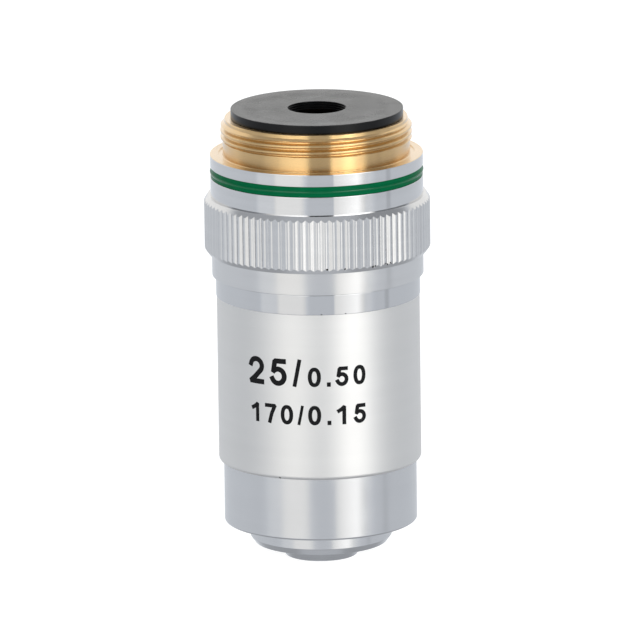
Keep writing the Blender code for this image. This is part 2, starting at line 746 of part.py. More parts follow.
def front_lens(collection, parent, glass):
    """Domed lens with a flat face outwards, seated on the cone in the front cell."""
    radius = FRONT_LENS_DIAMETER / 2
    apex = FRONT_LENS_EDGE + sag(FRONT_LENS_CURVE, radius)
    dome = arc(FRONT_LENS_CURVE, radius, apex, up=False)
    outline = dome + [(radius, 0.0), (0.0, 0.0)]
    base = TIP_BOTTOM + FRONT_LENS_RECESS
    piece = turned("front_lens", outline, glass, steps=INNER_STEPS, closed=False, base=base)
    return place(piece, collection, parent)


def nose_axis(collection):
    """Empty on the slide's axis, which carries every piece that retracts with the nose."""
    axis = bpy.data.objects.new("nose_axis", None)
    axis.empty_display_type = "SINGLE_ARROW"
    axis.empty_display_size = NOSE_RADIUS
    collection.objects.link(axis)
    return axis


def build():
    clear_scene()
    objective = new_collection("microscope_objective")
    cutters = new_collection("cutters")

    mount_body(objective, cutters, finish("plated_brass", (205, 180, 130), 0.24, 1.0))
    colour_ring(objective, finish("green_enamel", (2, 104, 60), 0.32))
    rear_stop(objective, finish("black_anodised", (36, 36, 37), 0.45, 0.3))
    knurled_collar(objective, cutters, finish("knurled_chrome", (206, 206, 207), 0.22, 1.0))
    outer_sleeve(objective, finish("satin_chrome", (217, 217, 218), 0.34, 1.0))
    parfocal_shim(objective, finish("shim_brass", (205, 165, 100), 0.35, 1.0))
    guide_screw(objective, cutters, finish("screw_steel", (150, 150, 152), 0.35, 1.0))
    spring(objective, finish("spring_steel", (165, 167, 170), 0.3, 1.0))

    nose = nose_axis(objective)
    nose_shell(objective, nose, finish("polished_chrome", (200, 203, 206), 0.1, 1.0))
    lens_barrel(objective, cutters, nose, finish("barrel_brass", (190, 155, 95), 0.4, 1.0))
    stop_ring(objective, cutters, nose, finish("stop_ring_brass", (195, 160, 100), 0.4, 1.0))

    cell_black = finish("cell_black", (30, 30, 31), 0.5, 0.4)
    lens_cell(
        "rear_cell", REAR_LENS, REAR_CELL_HEIGHT, REAR_CELL_BOTTOM, objective, nose, cell_black
    )
    rear_seat = REAR_CELL_BOTTOM + CELL_LEDGE_HEIGHT + FIT
    doublet(
        "rear", REAR_LENS, rear_seat, objective, nose,
        finish("rear_crown_glass", (225, 235, 240), 0.02, 0.0, 1.0),
        finish("rear_flint_glass", (235, 235, 225), 0.02, 0.0, 1.0),
    )
    plain_ring(
        "rear_spacer", CELL_RADIUS, CELL_RADIUS - SPACER_WALL, REAR_SPACER_LENGTH,
        REAR_SPACER_BOTTOM, objective, nose, finish("spacer_black", (34, 34, 35), 0.5, 0.4),
    )
    lens_cell(
        "middle_cell", MIDDLE_LENS, MIDDLE_CELL_HEIGHT, MIDDLE_CELL_BOTTOM, objective, nose,
        finish("middle_cell_black", (30, 30, 31), 0.5, 0.4),
    )
    middle_seat = MIDDLE_CELL_BOTTOM + CELL_LEDGE_HEIGHT + FIT
    doublet(
        "middle", MIDDLE_LENS, middle_seat, objective, nose,
        finish("middle_crown_glass", (225, 235, 240), 0.02, 0.0, 1.0),
        finish("middle_flint_glass", (235, 235, 225), 0.02, 0.0, 1.0),
    )
    lock_ring = plain_ring(
        "lens_lock_ring", CELL_RADIUS, CELL_RADIUS - SPACER_WALL, LOCK_RING_HEIGHT,
        LOCK_RING_BOTTOM, objective, nose, finish("lock_ring_brass", (190, 155, 95), 0.4, 1.0),
    )
    cut(lock_ring, spanner_slots("lock_ring_slots", CELL_RADIUS, LOCK_RING_BOTTOM, cutters))
    plain_ring(
        "front_spacer", FRONT_RING_RADIUS - FIT, CELL_RADIUS + FIT, FRONT_SPACER_THICKNESS,
        FRONT_RING_TOP + FIT, objective, nose, finish("spacer_brass", (205, 165, 100), 0.35, 1.0),
    )
    front_cell(objective, nose, finish("tip_chrome", (205, 207, 210), 0.12, 1.0))
    front_lens(objective, nose, finish("front_lens_glass", (225, 232, 240), 0.02, 0.0, 1.0))

    bpy.context.view_layer.update()
    for piece in list(objective.objects):
        if piece.type == "MESH":
            settle(piece)


build()
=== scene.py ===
"""Looks of the microscope objective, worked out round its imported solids.

The optical axis is Z, with the origin on the mounting shoulder and the front lens pointing down.
Lengths in this script are millimetres, as on a turner's drawing, and become metres in put_in_scene.
An angle round the axis is measured from the camera's side, -Y, towards +X.
Every turned piece is an outline of corners (radius, height, rounding) that runs down the outer
side and back up the bore, carried round the axis.
"""

import json
import math

import bmesh
import bpy
import numpy as np
from mathutils import Matrix, Vector


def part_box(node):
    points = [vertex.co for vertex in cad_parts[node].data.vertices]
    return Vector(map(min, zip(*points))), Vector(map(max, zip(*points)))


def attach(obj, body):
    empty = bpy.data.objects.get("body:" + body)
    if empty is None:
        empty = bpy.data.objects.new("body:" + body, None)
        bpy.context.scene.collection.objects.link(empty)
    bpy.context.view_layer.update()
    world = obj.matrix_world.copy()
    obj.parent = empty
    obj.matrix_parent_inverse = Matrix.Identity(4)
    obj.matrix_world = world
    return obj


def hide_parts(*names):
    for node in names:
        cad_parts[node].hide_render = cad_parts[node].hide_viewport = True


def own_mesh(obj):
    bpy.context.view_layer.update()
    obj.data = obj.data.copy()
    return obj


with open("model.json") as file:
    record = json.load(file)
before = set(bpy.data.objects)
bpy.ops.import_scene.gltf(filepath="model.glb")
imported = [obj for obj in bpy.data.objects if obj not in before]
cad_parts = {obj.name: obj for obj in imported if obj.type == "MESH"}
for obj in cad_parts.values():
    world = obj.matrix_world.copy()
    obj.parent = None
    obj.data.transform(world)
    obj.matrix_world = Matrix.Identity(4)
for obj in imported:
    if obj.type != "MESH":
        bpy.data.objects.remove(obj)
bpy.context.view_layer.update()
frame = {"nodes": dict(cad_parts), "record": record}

MILLIMETRE = 0.001


def top_of(node):
    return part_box(node)[1].z / MILLIMETRE


def foot_of(node):
    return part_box(node)[0].z / MILLIMETRE


def radius_of(node):
    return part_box(node)[1].x / MILLIMETRE


# Fineness of the round pieces
COLUMNS = 256
ROUND_STEPS = 4
SHARP_ANGLE = math.radians(32)
GUARD = 0.05
WELD = 0.0002
LENS_COLUMNS = 96
LENS_ROWS = 20

# Fits and small roundings that hands and light find on every edge
FIT = 0.05
TIGHT = 0.005
SOFT_EDGE = 0.05
CRISP_EDGE = 0.03

# Mounting thread: 36 turns an inch, flanks at 27.5 degrees, crests a little flattened
THREAD_RADIUS = 10.16
THREAD_TOP = top_of("mount_body")
THREAD_PITCH = 25.4 / 36
THREAD_FLANK = math.radians(27.5)
THREAD_CREST_SHARE = 0.28
THREAD_DEPTH = 0.42
THREAD_ROUNDING = 0.018
PILOT_RADIUS = 9.72
PILOT_FOOT = THREAD_TOP - 0.38
PILOT_SLOPE = 1.3
THREAD_LAST_GROOVE = 1.71
THREAD_ROWS_PER_TURN = 26
NECK_RADIUS = 9.94
NECK_TOP = 1.62
NECK_RUN_OUT = 0.1

# Head below the thread
HEAD_RADIUS = radius_of("mount_body")
HEAD_FOOT = top_of("knurled_collar") + TIGHT
RELIEF_RADIUS = 10.45
RELIEF_DEPTH = 0.12
RELIEF_ROUNDING = 0.09
GROOVE_TOP = top_of("colour_ring") + FIT
GROOVE_FOOT = foot_of("colour_ring") - FIT
GROOVE_RADIUS = HEAD_RADIUS - 0.54
RING_BEAD_HEIGHT = 0.09
RING_BEAD_WIDTH = 0.5
RING_BEAD_DROP = 0.02
RING_BEAD_ROWS = 17

# Bores and spigot of the mount body
CHAMBER_RADIUS = THREAD_RADIUS - 1.56
CHAMBER_SEAM = THREAD_TOP - 1.0
GUIDE_BORE = CHAMBER_RADIUS - 1.55
LEDGE_TOP = foot_of("parfocal_shim") - FIT
SPIGOT_RADIUS = 10.55
SPIGOT_STEP = top_of("outer_sleeve") + FIT
SPIGOT_THREAD_RADIUS = GUIDE_BORE + 2.2
SPIGOT_FOOT = foot_of("mount_body")
GUIDE_SCREW_HEIGHT = LEDGE_TOP - 1.8
GUIDE_HOLE_RADIUS = 0.95
GUIDE_HOLE_SIDES = 32
DRILL_SPARE = 1.0

# Rear stop
STOP_RADIUS = radius_of("rear_stop")
STOP_TOP = top_of("rear_stop")
STOP_SEAT = THREAD_TOP + FIT
STOP_HOLE_RADIUS = 3.08
STOP_EDGE = 0.05
STOP_PLAY = 0.1
STOP_TRIM = 0.1
STOP_GROOVES = 3
STOP_GROOVE_DEPTH = 0.07
STOP_SPIGOT_WALL = 1.0

# Knurled collar
KNURL_RADIUS = radius_of("knurled_collar")
KNURL_TEETH = 90
KNURL_DEPTH = 0.19
KNURL_CREST_SHARE = 0.24
KNURL_ROUNDING = 0.03
KNURL_ROOT_FLAT = 0.01
KNURL_COLUMNS_PER_TOOTH = 12
COLLAR_TOP = top_of("knurled_collar")
COLLAR_LEDGE = HEAD_RADIUS + 0.3
COLLAR_BEVEL_HEIGHT = 0.6
COLLAR_LIP = 0.02
KNURL_FOOT = COLLAR_TOP - 5.62
KNURL_FOOT_WIDTH = 0.4
KNURL_FOOT_HEIGHT = 0.58
COLLAR_FOOT = foot_of("knurled_collar")
SKIRT_RADIUS = 11.24
COLLAR_BORE = SPIGOT_RADIUS + FIT

# Outer sleeve
RIM_RADIUS = radius_of("outer_sleeve")
RIM_TOP = COLLAR_FOOT - FIT
SATIN_TOP = RIM_TOP - 2.13
BARREL_RADIUS = RIM_RADIUS - 0.08
SLEEVE_FOOT = foot_of("outer_sleeve")
SLEEVE_BORE = BARREL_RADIUS - 0.44
SLEEVE_ROUNDING = 0.36
SLEEVE_THREAD_REACH = 1.0

# Nose
NOSE_RADIUS = radius_of("nose_shell")
NOSE_TOP = top_of("nose_shell")
NOSE_SKIRT = 0.12
NOSE_FOOT = foot_of("nose_shell") - NOSE_SKIRT
NOSE_SCREW_BORE = 8.35
NOSE_SCREW_LENGTH = 6.2
NOSE_GUIDE_WALL = 0.95
NOSE_FLOOR = 1.5
NOSE_ROUNDING = 0.22

# Front cell
CELL_RADIUS = 6.85
FRONT_RING_RADIUS = radius_of("front_cell")
FRONT_RING_TOP = foot_of("front_spacer") - FIT
FRONT_RING_FOOT = NOSE_FOOT + NOSE_SKIRT - 1.79
FRONT_BEVEL_RADIUS = FRONT_RING_RADIUS - 0.49
FRONT_BEVEL_FOOT = FRONT_RING_FOOT - 0.68
TIP_TOP = FRONT_BEVEL_FOOT - 0.64
TIP_RADIUS = 3.82
TIP_TAPER = 0.45
TIP_ROUNDING = 0.12
TIP_FOOT = foot_of("front_cell")
LENS_RADIUS = radius_of("front_lens")
LENS_EDGE = 0.6
LENS_CURVE = 2.15
LENS_FACE = foot_of("front_lens")
LENS_SEAT_WIDTH = 0.5
LENS_SEAT_HEIGHT = 0.85
FRONT_SPIGOT_WALL = 1.6
FRONT_SPIGOT_TOP = top_of("front_cell")

# Spring, which closes up as the nose slides in
SPRING_WIRE = 0.8
SPRING_TURNS = 4.6
SPRING_END_TURNS = 0.8
SPRING_END_PITCH = 1.15
SPRING_RADIUS = radius_of("spring") - SPRING_WIRE / 2
SPRING_STEPS_PER_TURN = 40
SPRING_ROUND_STEPS = 12
SPRING_END_SIZE = 0.85

# Figures on the barrel, drawn with a round pen and filled with black paint
FIGURE_PROUD = 0.014
FIGURE_SUNK = 0.04
FIGURE_STEP = 0.45
FIGURE_CORNER = 0.16
FIGURE_MITRE_LIMIT = 2.6
LARGE_FIGURE = {"height": 2.98, "pen": 0.56, "slash_pen": 0.42}
SMALL_FIGURE = {"height": 2.12, "pen": 0.42, "slash_pen": 0.31}
UPPER_LINE = {
    "base": -23.1, "rise": 0.008, "start": -8.17,
    "gaps": (0.72, 0.66, 0.69, 0.62, 0.52, 0.56),
}
LOWER_LINE = {
    "base": -27.2, "rise": 0.0, "start": -7.84,
    "gaps": (0.76, 0.46, 0.48, 0.46, 0.65, 0.62, 0.85),
}

# The camera's place, from the photograph's perspective
CAMERA_AIM = (0.155, 0.0, -18.313)
CAMERA_DISTANCE = 1300.0
CAMERA_ELEVATION = math.radians(13.32)
CAMERA_ROLL = math.radians(0.737)
CAMERA_LENS = 687.2
FLOOR_RADIUS = 2500.0


# Shapes


def rounded(outline, closed):
    """The outline's points, with each corner of rounding s replaced by a circular arc.

    The arc touches both sides at a distance s from the corner. Each straight side gets one guard
    point near each end, so that smooth shading stays flat between the arcs.
    """
    points = []
    count = len(outline)
    for index, corner in enumerate(outline):
        place = np.array(corner[:2], float)
        size = corner[2] if len(corner) > 2 else 0.0
        if size <= 0.0 or (not closed and index in (0, count - 1)):
            points.append([place])
            continue
        before = np.array(outline[index - 1][:2], float) - place
        after = np.array(outline[(index + 1) % count][:2], float) - place
        before /= np.linalg.norm(before)
        after /= np.linalg.norm(after)
        share = np.linspace(0.0, 1.0, ROUND_STEPS + 1)[:, None]
        start, end = place + size * before, place + size * after
        middle = before + after
        half = math.acos(max(-1.0, min(1.0, float(before @ after)))) / 2
        centre = place + middle / np.linalg.norm(middle) * size / math.cos(half)
        turn = math.pi - 2 * half
        weights = np.sin(turn * np.hstack([1 - share, share])) / math.sin(turn)
        curve = centre + weights[:, :1] * (start - centre) + weights[:, 1:] * (end - centre)
        points.append(list(curve))
    path = []
    for index, group in enumerate(points):
        path.extend(group)
        if index == count - 1 and not closed:
            break
        here, there = group[-1], points[(index + 1) % count][0]
        length = float(np.linalg.norm(there - here))
        if length > 4 * GUARD:
            step = (there - here) / length * GUARD
            path.extend([here + step, there - step])
    if closed:
        path.append(path[0])
    return np.array(path)


def new_object(name, data):
    """A new object in the scene, at the origin."""
    made = bpy.data.objects.new(name, data)
    bpy.context.scene.collection.objects.link(made)
    return made


def put_in_scene(name, points):
    """A closed mesh from a grid of points (rows, columns, 3) in millimetres.

    Rows run along the outline and columns run round it. Points that meet, at the seam, at a pole
    or where rows run together, are welded. Faces point outwards when rows run down the outside
    and columns turn from -Y towards +X.
    """
    rows, columns = points.shape[:2]
    numbers = np.arange(rows * columns).reshape(rows, columns)
    corners = (numbers[:-1, :-1], numbers[1:, :-1], numbers[1:, 1:], numbers[:-1, 1:])
    quads = np.stack(corners, axis=-1).reshape(-1, 4)
    mesh = bpy.data.meshes.new(name)
    mesh.vertices.add(rows * columns)
    mesh.vertices.foreach_set("co", (points.reshape(-1) * MILLIMETRE).astype(np.float32))
    mesh.loops.add(quads.size)
    mesh.loops.foreach_set("vertex_index", quads.reshape(-1).astype(np.int32))
    mesh.polygons.add(len(quads))
    mesh.polygons.foreach_set("loop_start", np.arange(0, quads.size, 4, dtype=np.int32))
    mesh.update()
    welded = bmesh.new()
    welded.from_mesh(mesh)
    bmesh.ops.remove_doubles(welded, verts=welded.verts, dist=WELD * MILLIMETRE)
    welded.to_mesh(mesh)
    welded.free()
    mesh.shade_smooth()
    mesh.set_sharp_from_angle(angle=SHARP_ANGLE)
    return new_object(name, mesh)


def round_angles(columns):
    return np.linspace(0.0, 2 * math.pi, columns + 1)


def carried_round(radii, heights, angles):
    """Points (r sin a, -r cos a, z) for radii and heights given by row, or by row and column."""
    radii = np.broadcast_to(radii, (len(radii), len(angles)))
    heights = np.broadcast_to(heights, radii.shape)
    return np.stack([radii * np.sin(angles), -radii * np.cos(angles), heights], axis=-1)


def turned_points(outline, closed=True, columns=COLUMNS):
    """Surface of revolution: the rounded outline (r(u), z(u)) carried round the axis."""
    path = rounded(outline, closed)
    return carried_round(path[:, :1], path[:, 1:], round_angles(columns))


def turned(name, outline, closed=True, columns=COLUMNS):
    return put_in_scene(name, turned_points(outline, closed, columns))


def finish_piece(piece, body, nodes, material):
    """Give a piece its material and its body, and hide the solids that it stands for."""
    piece.data.materials.append(material)
    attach(piece, body)
    if nodes:
        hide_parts(*nodes)
    return piece


def soft_step(value, size):
    """Zero below zero and value above it, with a turn of about that size between."""
    return size * np.logaddexp(0.0, value / size)


def groove_depth(offset, half_width, slope, depth, rounding):
    """Depth of a V groove at a distance from its middle line, rounded at its lips and its root."""
    into = (half_width - np.abs(offset)) * slope
    return soft_step(into, rounding) - soft_step(into - depth, rounding)


def thread_points():
    """Rows that follow the thread's helix, from the top face down to the neck.

    A row's height is top - p j / n + p a / 2 pi, held between the top and the neck, so rows run
    together at both ends. The radius is the crest less a V groove of the distance to the nearest
    groove. A plain pilot land of the root's size leads in at the top, and the thread fades to the
    neck's radius at the foot.
    """
    angles = round_angles(COLUMNS)
    foot = NECK_TOP - NECK_RUN_OUT
    turns = (THREAD_TOP - foot) / THREAD_PITCH + 1
    rows = np.arange(math.ceil(turns * THREAD_ROWS_PER_TURN) + 1)[:, None]
    rise = THREAD_PITCH * (angles[None, :] / (2 * math.pi) - rows / THREAD_ROWS_PER_TURN)
    heights = np.clip(THREAD_TOP + rise, foot, THREAD_TOP)
    phase = (heights - THREAD_LAST_GROOVE) / THREAD_PITCH - angles[None, :] / (2 * math.pi)
    offset = (phase - np.round(phase)) * THREAD_PITCH
    half_width = THREAD_PITCH * (1 - THREAD_CREST_SHARE) / 2
    slope = 1 / math.tan(THREAD_FLANK)
    depth = groove_depth(offset, half_width, slope, THREAD_DEPTH, THREAD_ROUNDING)
    pilot = PILOT_RADIUS + PILOT_SLOPE * np.maximum(PILOT_FOOT - heights, 0.0)
    pilot = np.minimum(pilot, PILOT_RADIUS - SOFT_EDGE + THREAD_TOP - heights)
    radii = np.minimum(THREAD_RADIUS - depth, pilot)
    share = np.clip((heights - foot) / NECK_RUN_OUT, 0.0, 1.0)
    share = share * share * (3 - 2 * share)
    radii = NECK_RADIUS + (radii - NECK_RADIUS) * share
    return carried_round(radii, heights, angles)


def mount_body(material):
    """Head, neck and helical thread as one turned piece, with its spigot and bores."""
    above = [
        (CHAMBER_RADIUS, CHAMBER_SEAM),
        (CHAMBER_RADIUS, THREAD_TOP, CRISP_EDGE),
        (PILOT_RADIUS - SOFT_EDGE, THREAD_TOP),
    ]
    below = [
        (NECK_RADIUS, NECK_TOP - NECK_RUN_OUT),
        (NECK_RADIUS, -RELIEF_DEPTH, RELIEF_ROUNDING),
        (RELIEF_RADIUS, -RELIEF_DEPTH, CRISP_EDGE),
        (RELIEF_RADIUS, 0.0, CRISP_EDGE),
        (HEAD_RADIUS, 0.0, SOFT_EDGE),
        (HEAD_RADIUS, GROOVE_TOP, CRISP_EDGE),
        (GROOVE_RADIUS, GROOVE_TOP),
        (GROOVE_RADIUS, GROOVE_FOOT),
        (HEAD_RADIUS, GROOVE_FOOT, CRISP_EDGE),
        (HEAD_RADIUS, HEAD_FOOT),
        (SPIGOT_RADIUS, HEAD_FOOT),
        (SPIGOT_RADIUS, SPIGOT_STEP, SOFT_EDGE),
        (SPIGOT_THREAD_RADIUS, SPIGOT_STEP),
        (SPIGOT_THREAD_RADIUS, SPIGOT_FOOT, SOFT_EDGE),
        (GUIDE_BORE, SPIGOT_FOOT, SOFT_EDGE),
        (GUIDE_BORE, LEDGE_TOP, SOFT_EDGE),
        (CHAMBER_RADIUS, LEDGE_TOP),
        (CHAMBER_RADIUS, CHAMBER_SEAM),
    ]
    above, below = turned_points(above, closed=False), turned_points(below, closed=False)
    body = put_in_scene("threaded_head", np.concatenate([above, thread_points(), below]))
    drill_guide_hole(body)
    return finish_piece(body, "housing", ["mount_body"], material)


def drill_guide_hole(body):
    """Cut the guide screw's hole through the spigot wall, along +Y."""
    mesh = bpy.data.meshes.new("guide_hole")
    shape = bmesh.new()
    wall = SPIGOT_RADIUS - GUIDE_BORE
    radius = GUIDE_HOLE_RADIUS * MILLIMETRE
    bmesh.ops.create_cone(
        shape, cap_ends=True, segments=GUIDE_HOLE_SIDES, radius1=radius, radius2=radius,
        depth=(wall + DRILL_SPARE) * MILLIMETRE,
    )
    middle = Vector((0.0, (SPIGOT_RADIUS + GUIDE_BORE) / 2, GUIDE_SCREW_HEIGHT)) * MILLIMETRE
    along_y = Matrix.Rotation(math.pi / 2, 4, "X")
    bmesh.ops.transform(shape, matrix=Matrix.Translation(middle) @ along_y, verts=shape.verts)
    shape.to_mesh(mesh)
    shape.free()
    drill = new_object("guide_hole", mesh)
    cut = body.modifiers.new("guide_hole", "BOOLEAN")
    cut.operation = "DIFFERENCE"
    cut.solver = "EXACT"
    cut.object = drill
    graph = bpy.context.evaluated_depsgraph_get()
    drilled = bpy.data.meshes.new_from_object(body.evaluated_get(graph))
    body.modifiers.clear()
    body.data = drilled
    bpy.data.objects.remove(drill, do_unlink=True)


def colour_ring(material):
    """Enamel that fills the head's groove, flat but for a low half-round bead at its middle.

    The bead's radius is the lip's plus its height times the square of a cosine over its width.
    """
    lip = radius_of("colour_ring") - RING_BEAD_HEIGHT
    top, foot = GROOVE_TOP - TIGHT, GROOVE_FOOT + TIGHT
    share = np.linspace(-1.0, 1.0, RING_BEAD_ROWS)
    bead_radii = lip + RING_BEAD_HEIGHT * np.cos(share * math.pi / 2) ** 2
    bead_heights = (top + foot) / 2 - RING_BEAD_DROP - share * RING_BEAD_WIDTH / 2
    bead = list(zip(bead_radii.tolist(), bead_heights.tolist()))
    outline = [
        (lip, top, CRISP_EDGE),
        *bead,
        (lip, foot, CRISP_EDGE),
        (GROOVE_RADIUS + FIT, foot),
        (GROOVE_RADIUS + FIT, top),
    ]
    piece = turned("enamel_ring", outline)
    return finish_piece(piece, "housing", ["colour_ring"], material)


def rear_stop(material):
    """Black disc that sits to one side by its play. Grooves inside its hole stop stray light."""
    spigot = CHAMBER_RADIUS - FIT - STOP_PLAY
    spigot_foot = foot_of("rear_stop")
    depth = STOP_TOP - STOP_SEAT
    land = depth / (2 * STOP_GROOVES + 1)
    bore = []
    for number in range(STOP_GROOVES):
        height = STOP_SEAT + land * (2 * number + 1)
        bore.append((STOP_HOLE_RADIUS, height))
        bore.append((STOP_HOLE_RADIUS + STOP_GROOVE_DEPTH, height + land / 2))
        bore.append((STOP_HOLE_RADIUS, height + land))
    outline = [
        (STOP_RADIUS - STOP_TRIM, STOP_TOP, STOP_EDGE),
        (STOP_RADIUS - STOP_TRIM, STOP_SEAT, CRISP_EDGE),
        (spigot, STOP_SEAT),
        (spigot, spigot_foot, SOFT_EDGE),
        (spigot - STOP_SPIGOT_WALL, spigot_foot, SOFT_EDGE),
        (spigot - STOP_SPIGOT_WALL, STOP_SEAT),
        (STOP_HOLE_RADIUS, STOP_SEAT, CRISP_EDGE),
        *bore,
        (STOP_HOLE_RADIUS, STOP_TOP, CRISP_EDGE),
    ]
    piece = put_in_scene("aperture_disc", turned_points(outline) + (STOP_PLAY, 0.0, 0.0))
    return finish_piece(piece, "housing", ["rear_stop"], material)


def tooth_radii(angles):
    """The crest's radius less a V groove of each angle's distance round from the nearest groove."""
    pitch = 2 * math.pi * KNURL_RADIUS / KNURL_TEETH
    offset = ((angles * KNURL_TEETH / (2 * math.pi)) % 1.0 - 0.5) * pitch
    half_width = pitch * (1 - KNURL_CREST_SHARE) / 2
    depth = groove_depth(
        offset, half_width, KNURL_DEPTH / half_width, KNURL_DEPTH - KNURL_ROOT_FLAT, KNURL_ROUNDING
    )
    return KNURL_RADIUS - depth


def tooth_feet(radii):
    """Height at which the foot's cone cuts off teeth of those radii."""
    return KNURL_FOOT - (KNURL_RADIUS - radii) * KNURL_FOOT_HEIGHT / KNURL_FOOT_WIDTH


def knurled_collar(material):
    """Grip ring with straight V grooves that run out through its two bevels in pointed arches.

    The bevels are cones, so each column of the teeth meets them at its own heights.
    """
    angles = round_angles(KNURL_TEETH * KNURL_COLUMNS_PER_TOOTH)
    tooth = tooth_radii(angles)
    ledge_slope = COLLAR_BEVEL_HEIGHT / (KNURL_RADIUS - COLLAR_LEDGE)
    head_end = COLLAR_TOP - (tooth - COLLAR_LEDGE) * ledge_slope
    foot_end = tooth_feet(tooth)
    full = np.ones_like(tooth)
    root = KNURL_RADIUS - KNURL_DEPTH
    above = rounded(
        [
            (COLLAR_BORE, COLLAR_FOOT),
            (COLLAR_BORE, COLLAR_TOP),
            (COLLAR_LEDGE, COLLAR_TOP, COLLAR_LIP),
            (root, COLLAR_TOP - (root - COLLAR_LEDGE) * ledge_slope),
        ],
        closed=False,
    )
    below = rounded(
        [
            (root, tooth_feet(root)),
            (KNURL_RADIUS - KNURL_FOOT_WIDTH, KNURL_FOOT - KNURL_FOOT_HEIGHT, COLLAR_LIP),
            (SKIRT_RADIUS, KNURL_FOOT - KNURL_FOOT_HEIGHT),
            (SKIRT_RADIUS, COLLAR_FOOT, SOFT_EDGE),
            (COLLAR_BORE, COLLAR_FOOT),
        ],
        closed=False,
    )
    rows = [(radius * full, height * full) for radius, height in above]
    for share in (0.0, 0.25, 0.5, 0.75, 1.0):
        rows.append((tooth, head_end + (foot_end - head_end) * share))
    rows += [(radius * full, height * full) for radius, height in below]
    radii = np.array([row[0] for row in rows])
    heights = np.array([row[1] for row in rows])
    piece = put_in_scene("grip_collar", carried_round(radii, heights, angles))
    return finish_piece(piece, "housing", ["knurled_collar"], material)


def outer_sleeve(material):
    """Sleeve: a neck inside the collar, a polished rim and a satin barrel, round at its foot."""
    spigot_reach = RIM_TOP - SLEEVE_THREAD_REACH
    thread_bore = SPIGOT_THREAD_RADIUS + FIT
    outline = [
        (SPIGOT_RADIUS, top_of("outer_sleeve"), SOFT_EDGE),
        (SPIGOT_RADIUS, RIM_TOP),
        (RIM_RADIUS, RIM_TOP, SOFT_EDGE),
        (RIM_RADIUS, SATIN_TOP, CRISP_EDGE),
        (BARREL_RADIUS, SATIN_TOP, CRISP_EDGE),
        (BARREL_RADIUS, SLEEVE_FOOT, SLEEVE_ROUNDING),
        (SLEEVE_BORE, SLEEVE_FOOT),
        (SLEEVE_BORE, spigot_reach),
        (thread_bore, spigot_reach),
        (thread_bore, top_of("outer_sleeve")),
    ]
    piece = turned("satin_sleeve", outline)
    return finish_piece(piece, "housing", ["outer_sleeve"], material)


def nose_shell(material):
    """Polished shell of the sliding nose, closed below round the front cell."""
    inner = NOSE_RADIUS - NOSE_GUIDE_WALL
    outline = [
        (NOSE_RADIUS, NOSE_TOP, SOFT_EDGE),
        (NOSE_RADIUS, NOSE_FOOT, NOSE_ROUNDING),
        (FRONT_RING_RADIUS + FIT, NOSE_FOOT, CRISP_EDGE),
        (FRONT_RING_RADIUS + FIT, NOSE_FOOT + NOSE_FLOOR),
        (NOSE_SCREW_BORE, NOSE_FOOT + NOSE_FLOOR),
        (NOSE_SCREW_BORE, NOSE_FOOT + NOSE_SCREW_LENGTH, SOFT_EDGE),
        (inner, NOSE_FOOT + NOSE_SCREW_LENGTH),
        (inner, NOSE_TOP, SOFT_EDGE),
    ]
    piece = turned("polished_nose", outline)
    return finish_piece(piece, "nose", ["nose_shell"], material)


def front_cell(material):
    """Front of the nose: ring, bevel, shallow cone and blunt tip, with the front lens's seat."""
    bore = LENS_RADIUS + FIT
    seat = LENS_FACE + LENS_EDGE + FIT
    spigot_bore = CELL_RADIUS - FRONT_SPIGOT_WALL
    outline = [
        (CELL_RADIUS, FRONT_SPIGOT_TOP, SOFT_EDGE),
        (CELL_RADIUS, FRONT_RING_TOP),
        (FRONT_RING_RADIUS, FRONT_RING_TOP, CRISP_EDGE),
        (FRONT_RING_RADIUS, FRONT_RING_FOOT, SOFT_EDGE),
        (FRONT_BEVEL_RADIUS, FRONT_BEVEL_FOOT, SOFT_EDGE),
        (TIP_RADIUS + TIP_TAPER, TIP_TOP, SOFT_EDGE),
        (TIP_RADIUS, TIP_FOOT, TIP_ROUNDING),
        (bore, TIP_FOOT, CRISP_EDGE),
        (bore, seat),
        (bore - LENS_SEAT_WIDTH, seat + LENS_SEAT_HEIGHT, CRISP_EDGE),
        (spigot_bore, FRONT_RING_TOP),
        (spigot_bore, FRONT_SPIGOT_TOP, SOFT_EDGE),
    ]
    piece = turned("front_mount", outline)
    return finish_piece(piece, "nose", ["front_cell"], material)


def front_lens(material):
    """Plano-convex lens: a spherical dome z = top - c + sqrt(c c - r r) over a flat face."""
    top = LENS_FACE + LENS_EDGE + LENS_CURVE - math.sqrt(LENS_CURVE**2 - LENS_RADIUS**2)
    radii = LENS_RADIUS * np.sin(np.linspace(0.0, math.pi / 2, LENS_ROWS))
    heights = top - LENS_CURVE + np.sqrt(LENS_CURVE**2 - radii**2)
    dome = [(float(r), float(z)) for r, z in zip(radii, heights)]
    outline = dome + [(LENS_RADIUS, LENS_FACE, CRISP_EDGE), (0.0, LENS_FACE)]
    piece = turned("front_element", outline, closed=False, columns=LENS_COLUMNS)
    return finish_piece(piece, "nose", ["front_lens"], material)


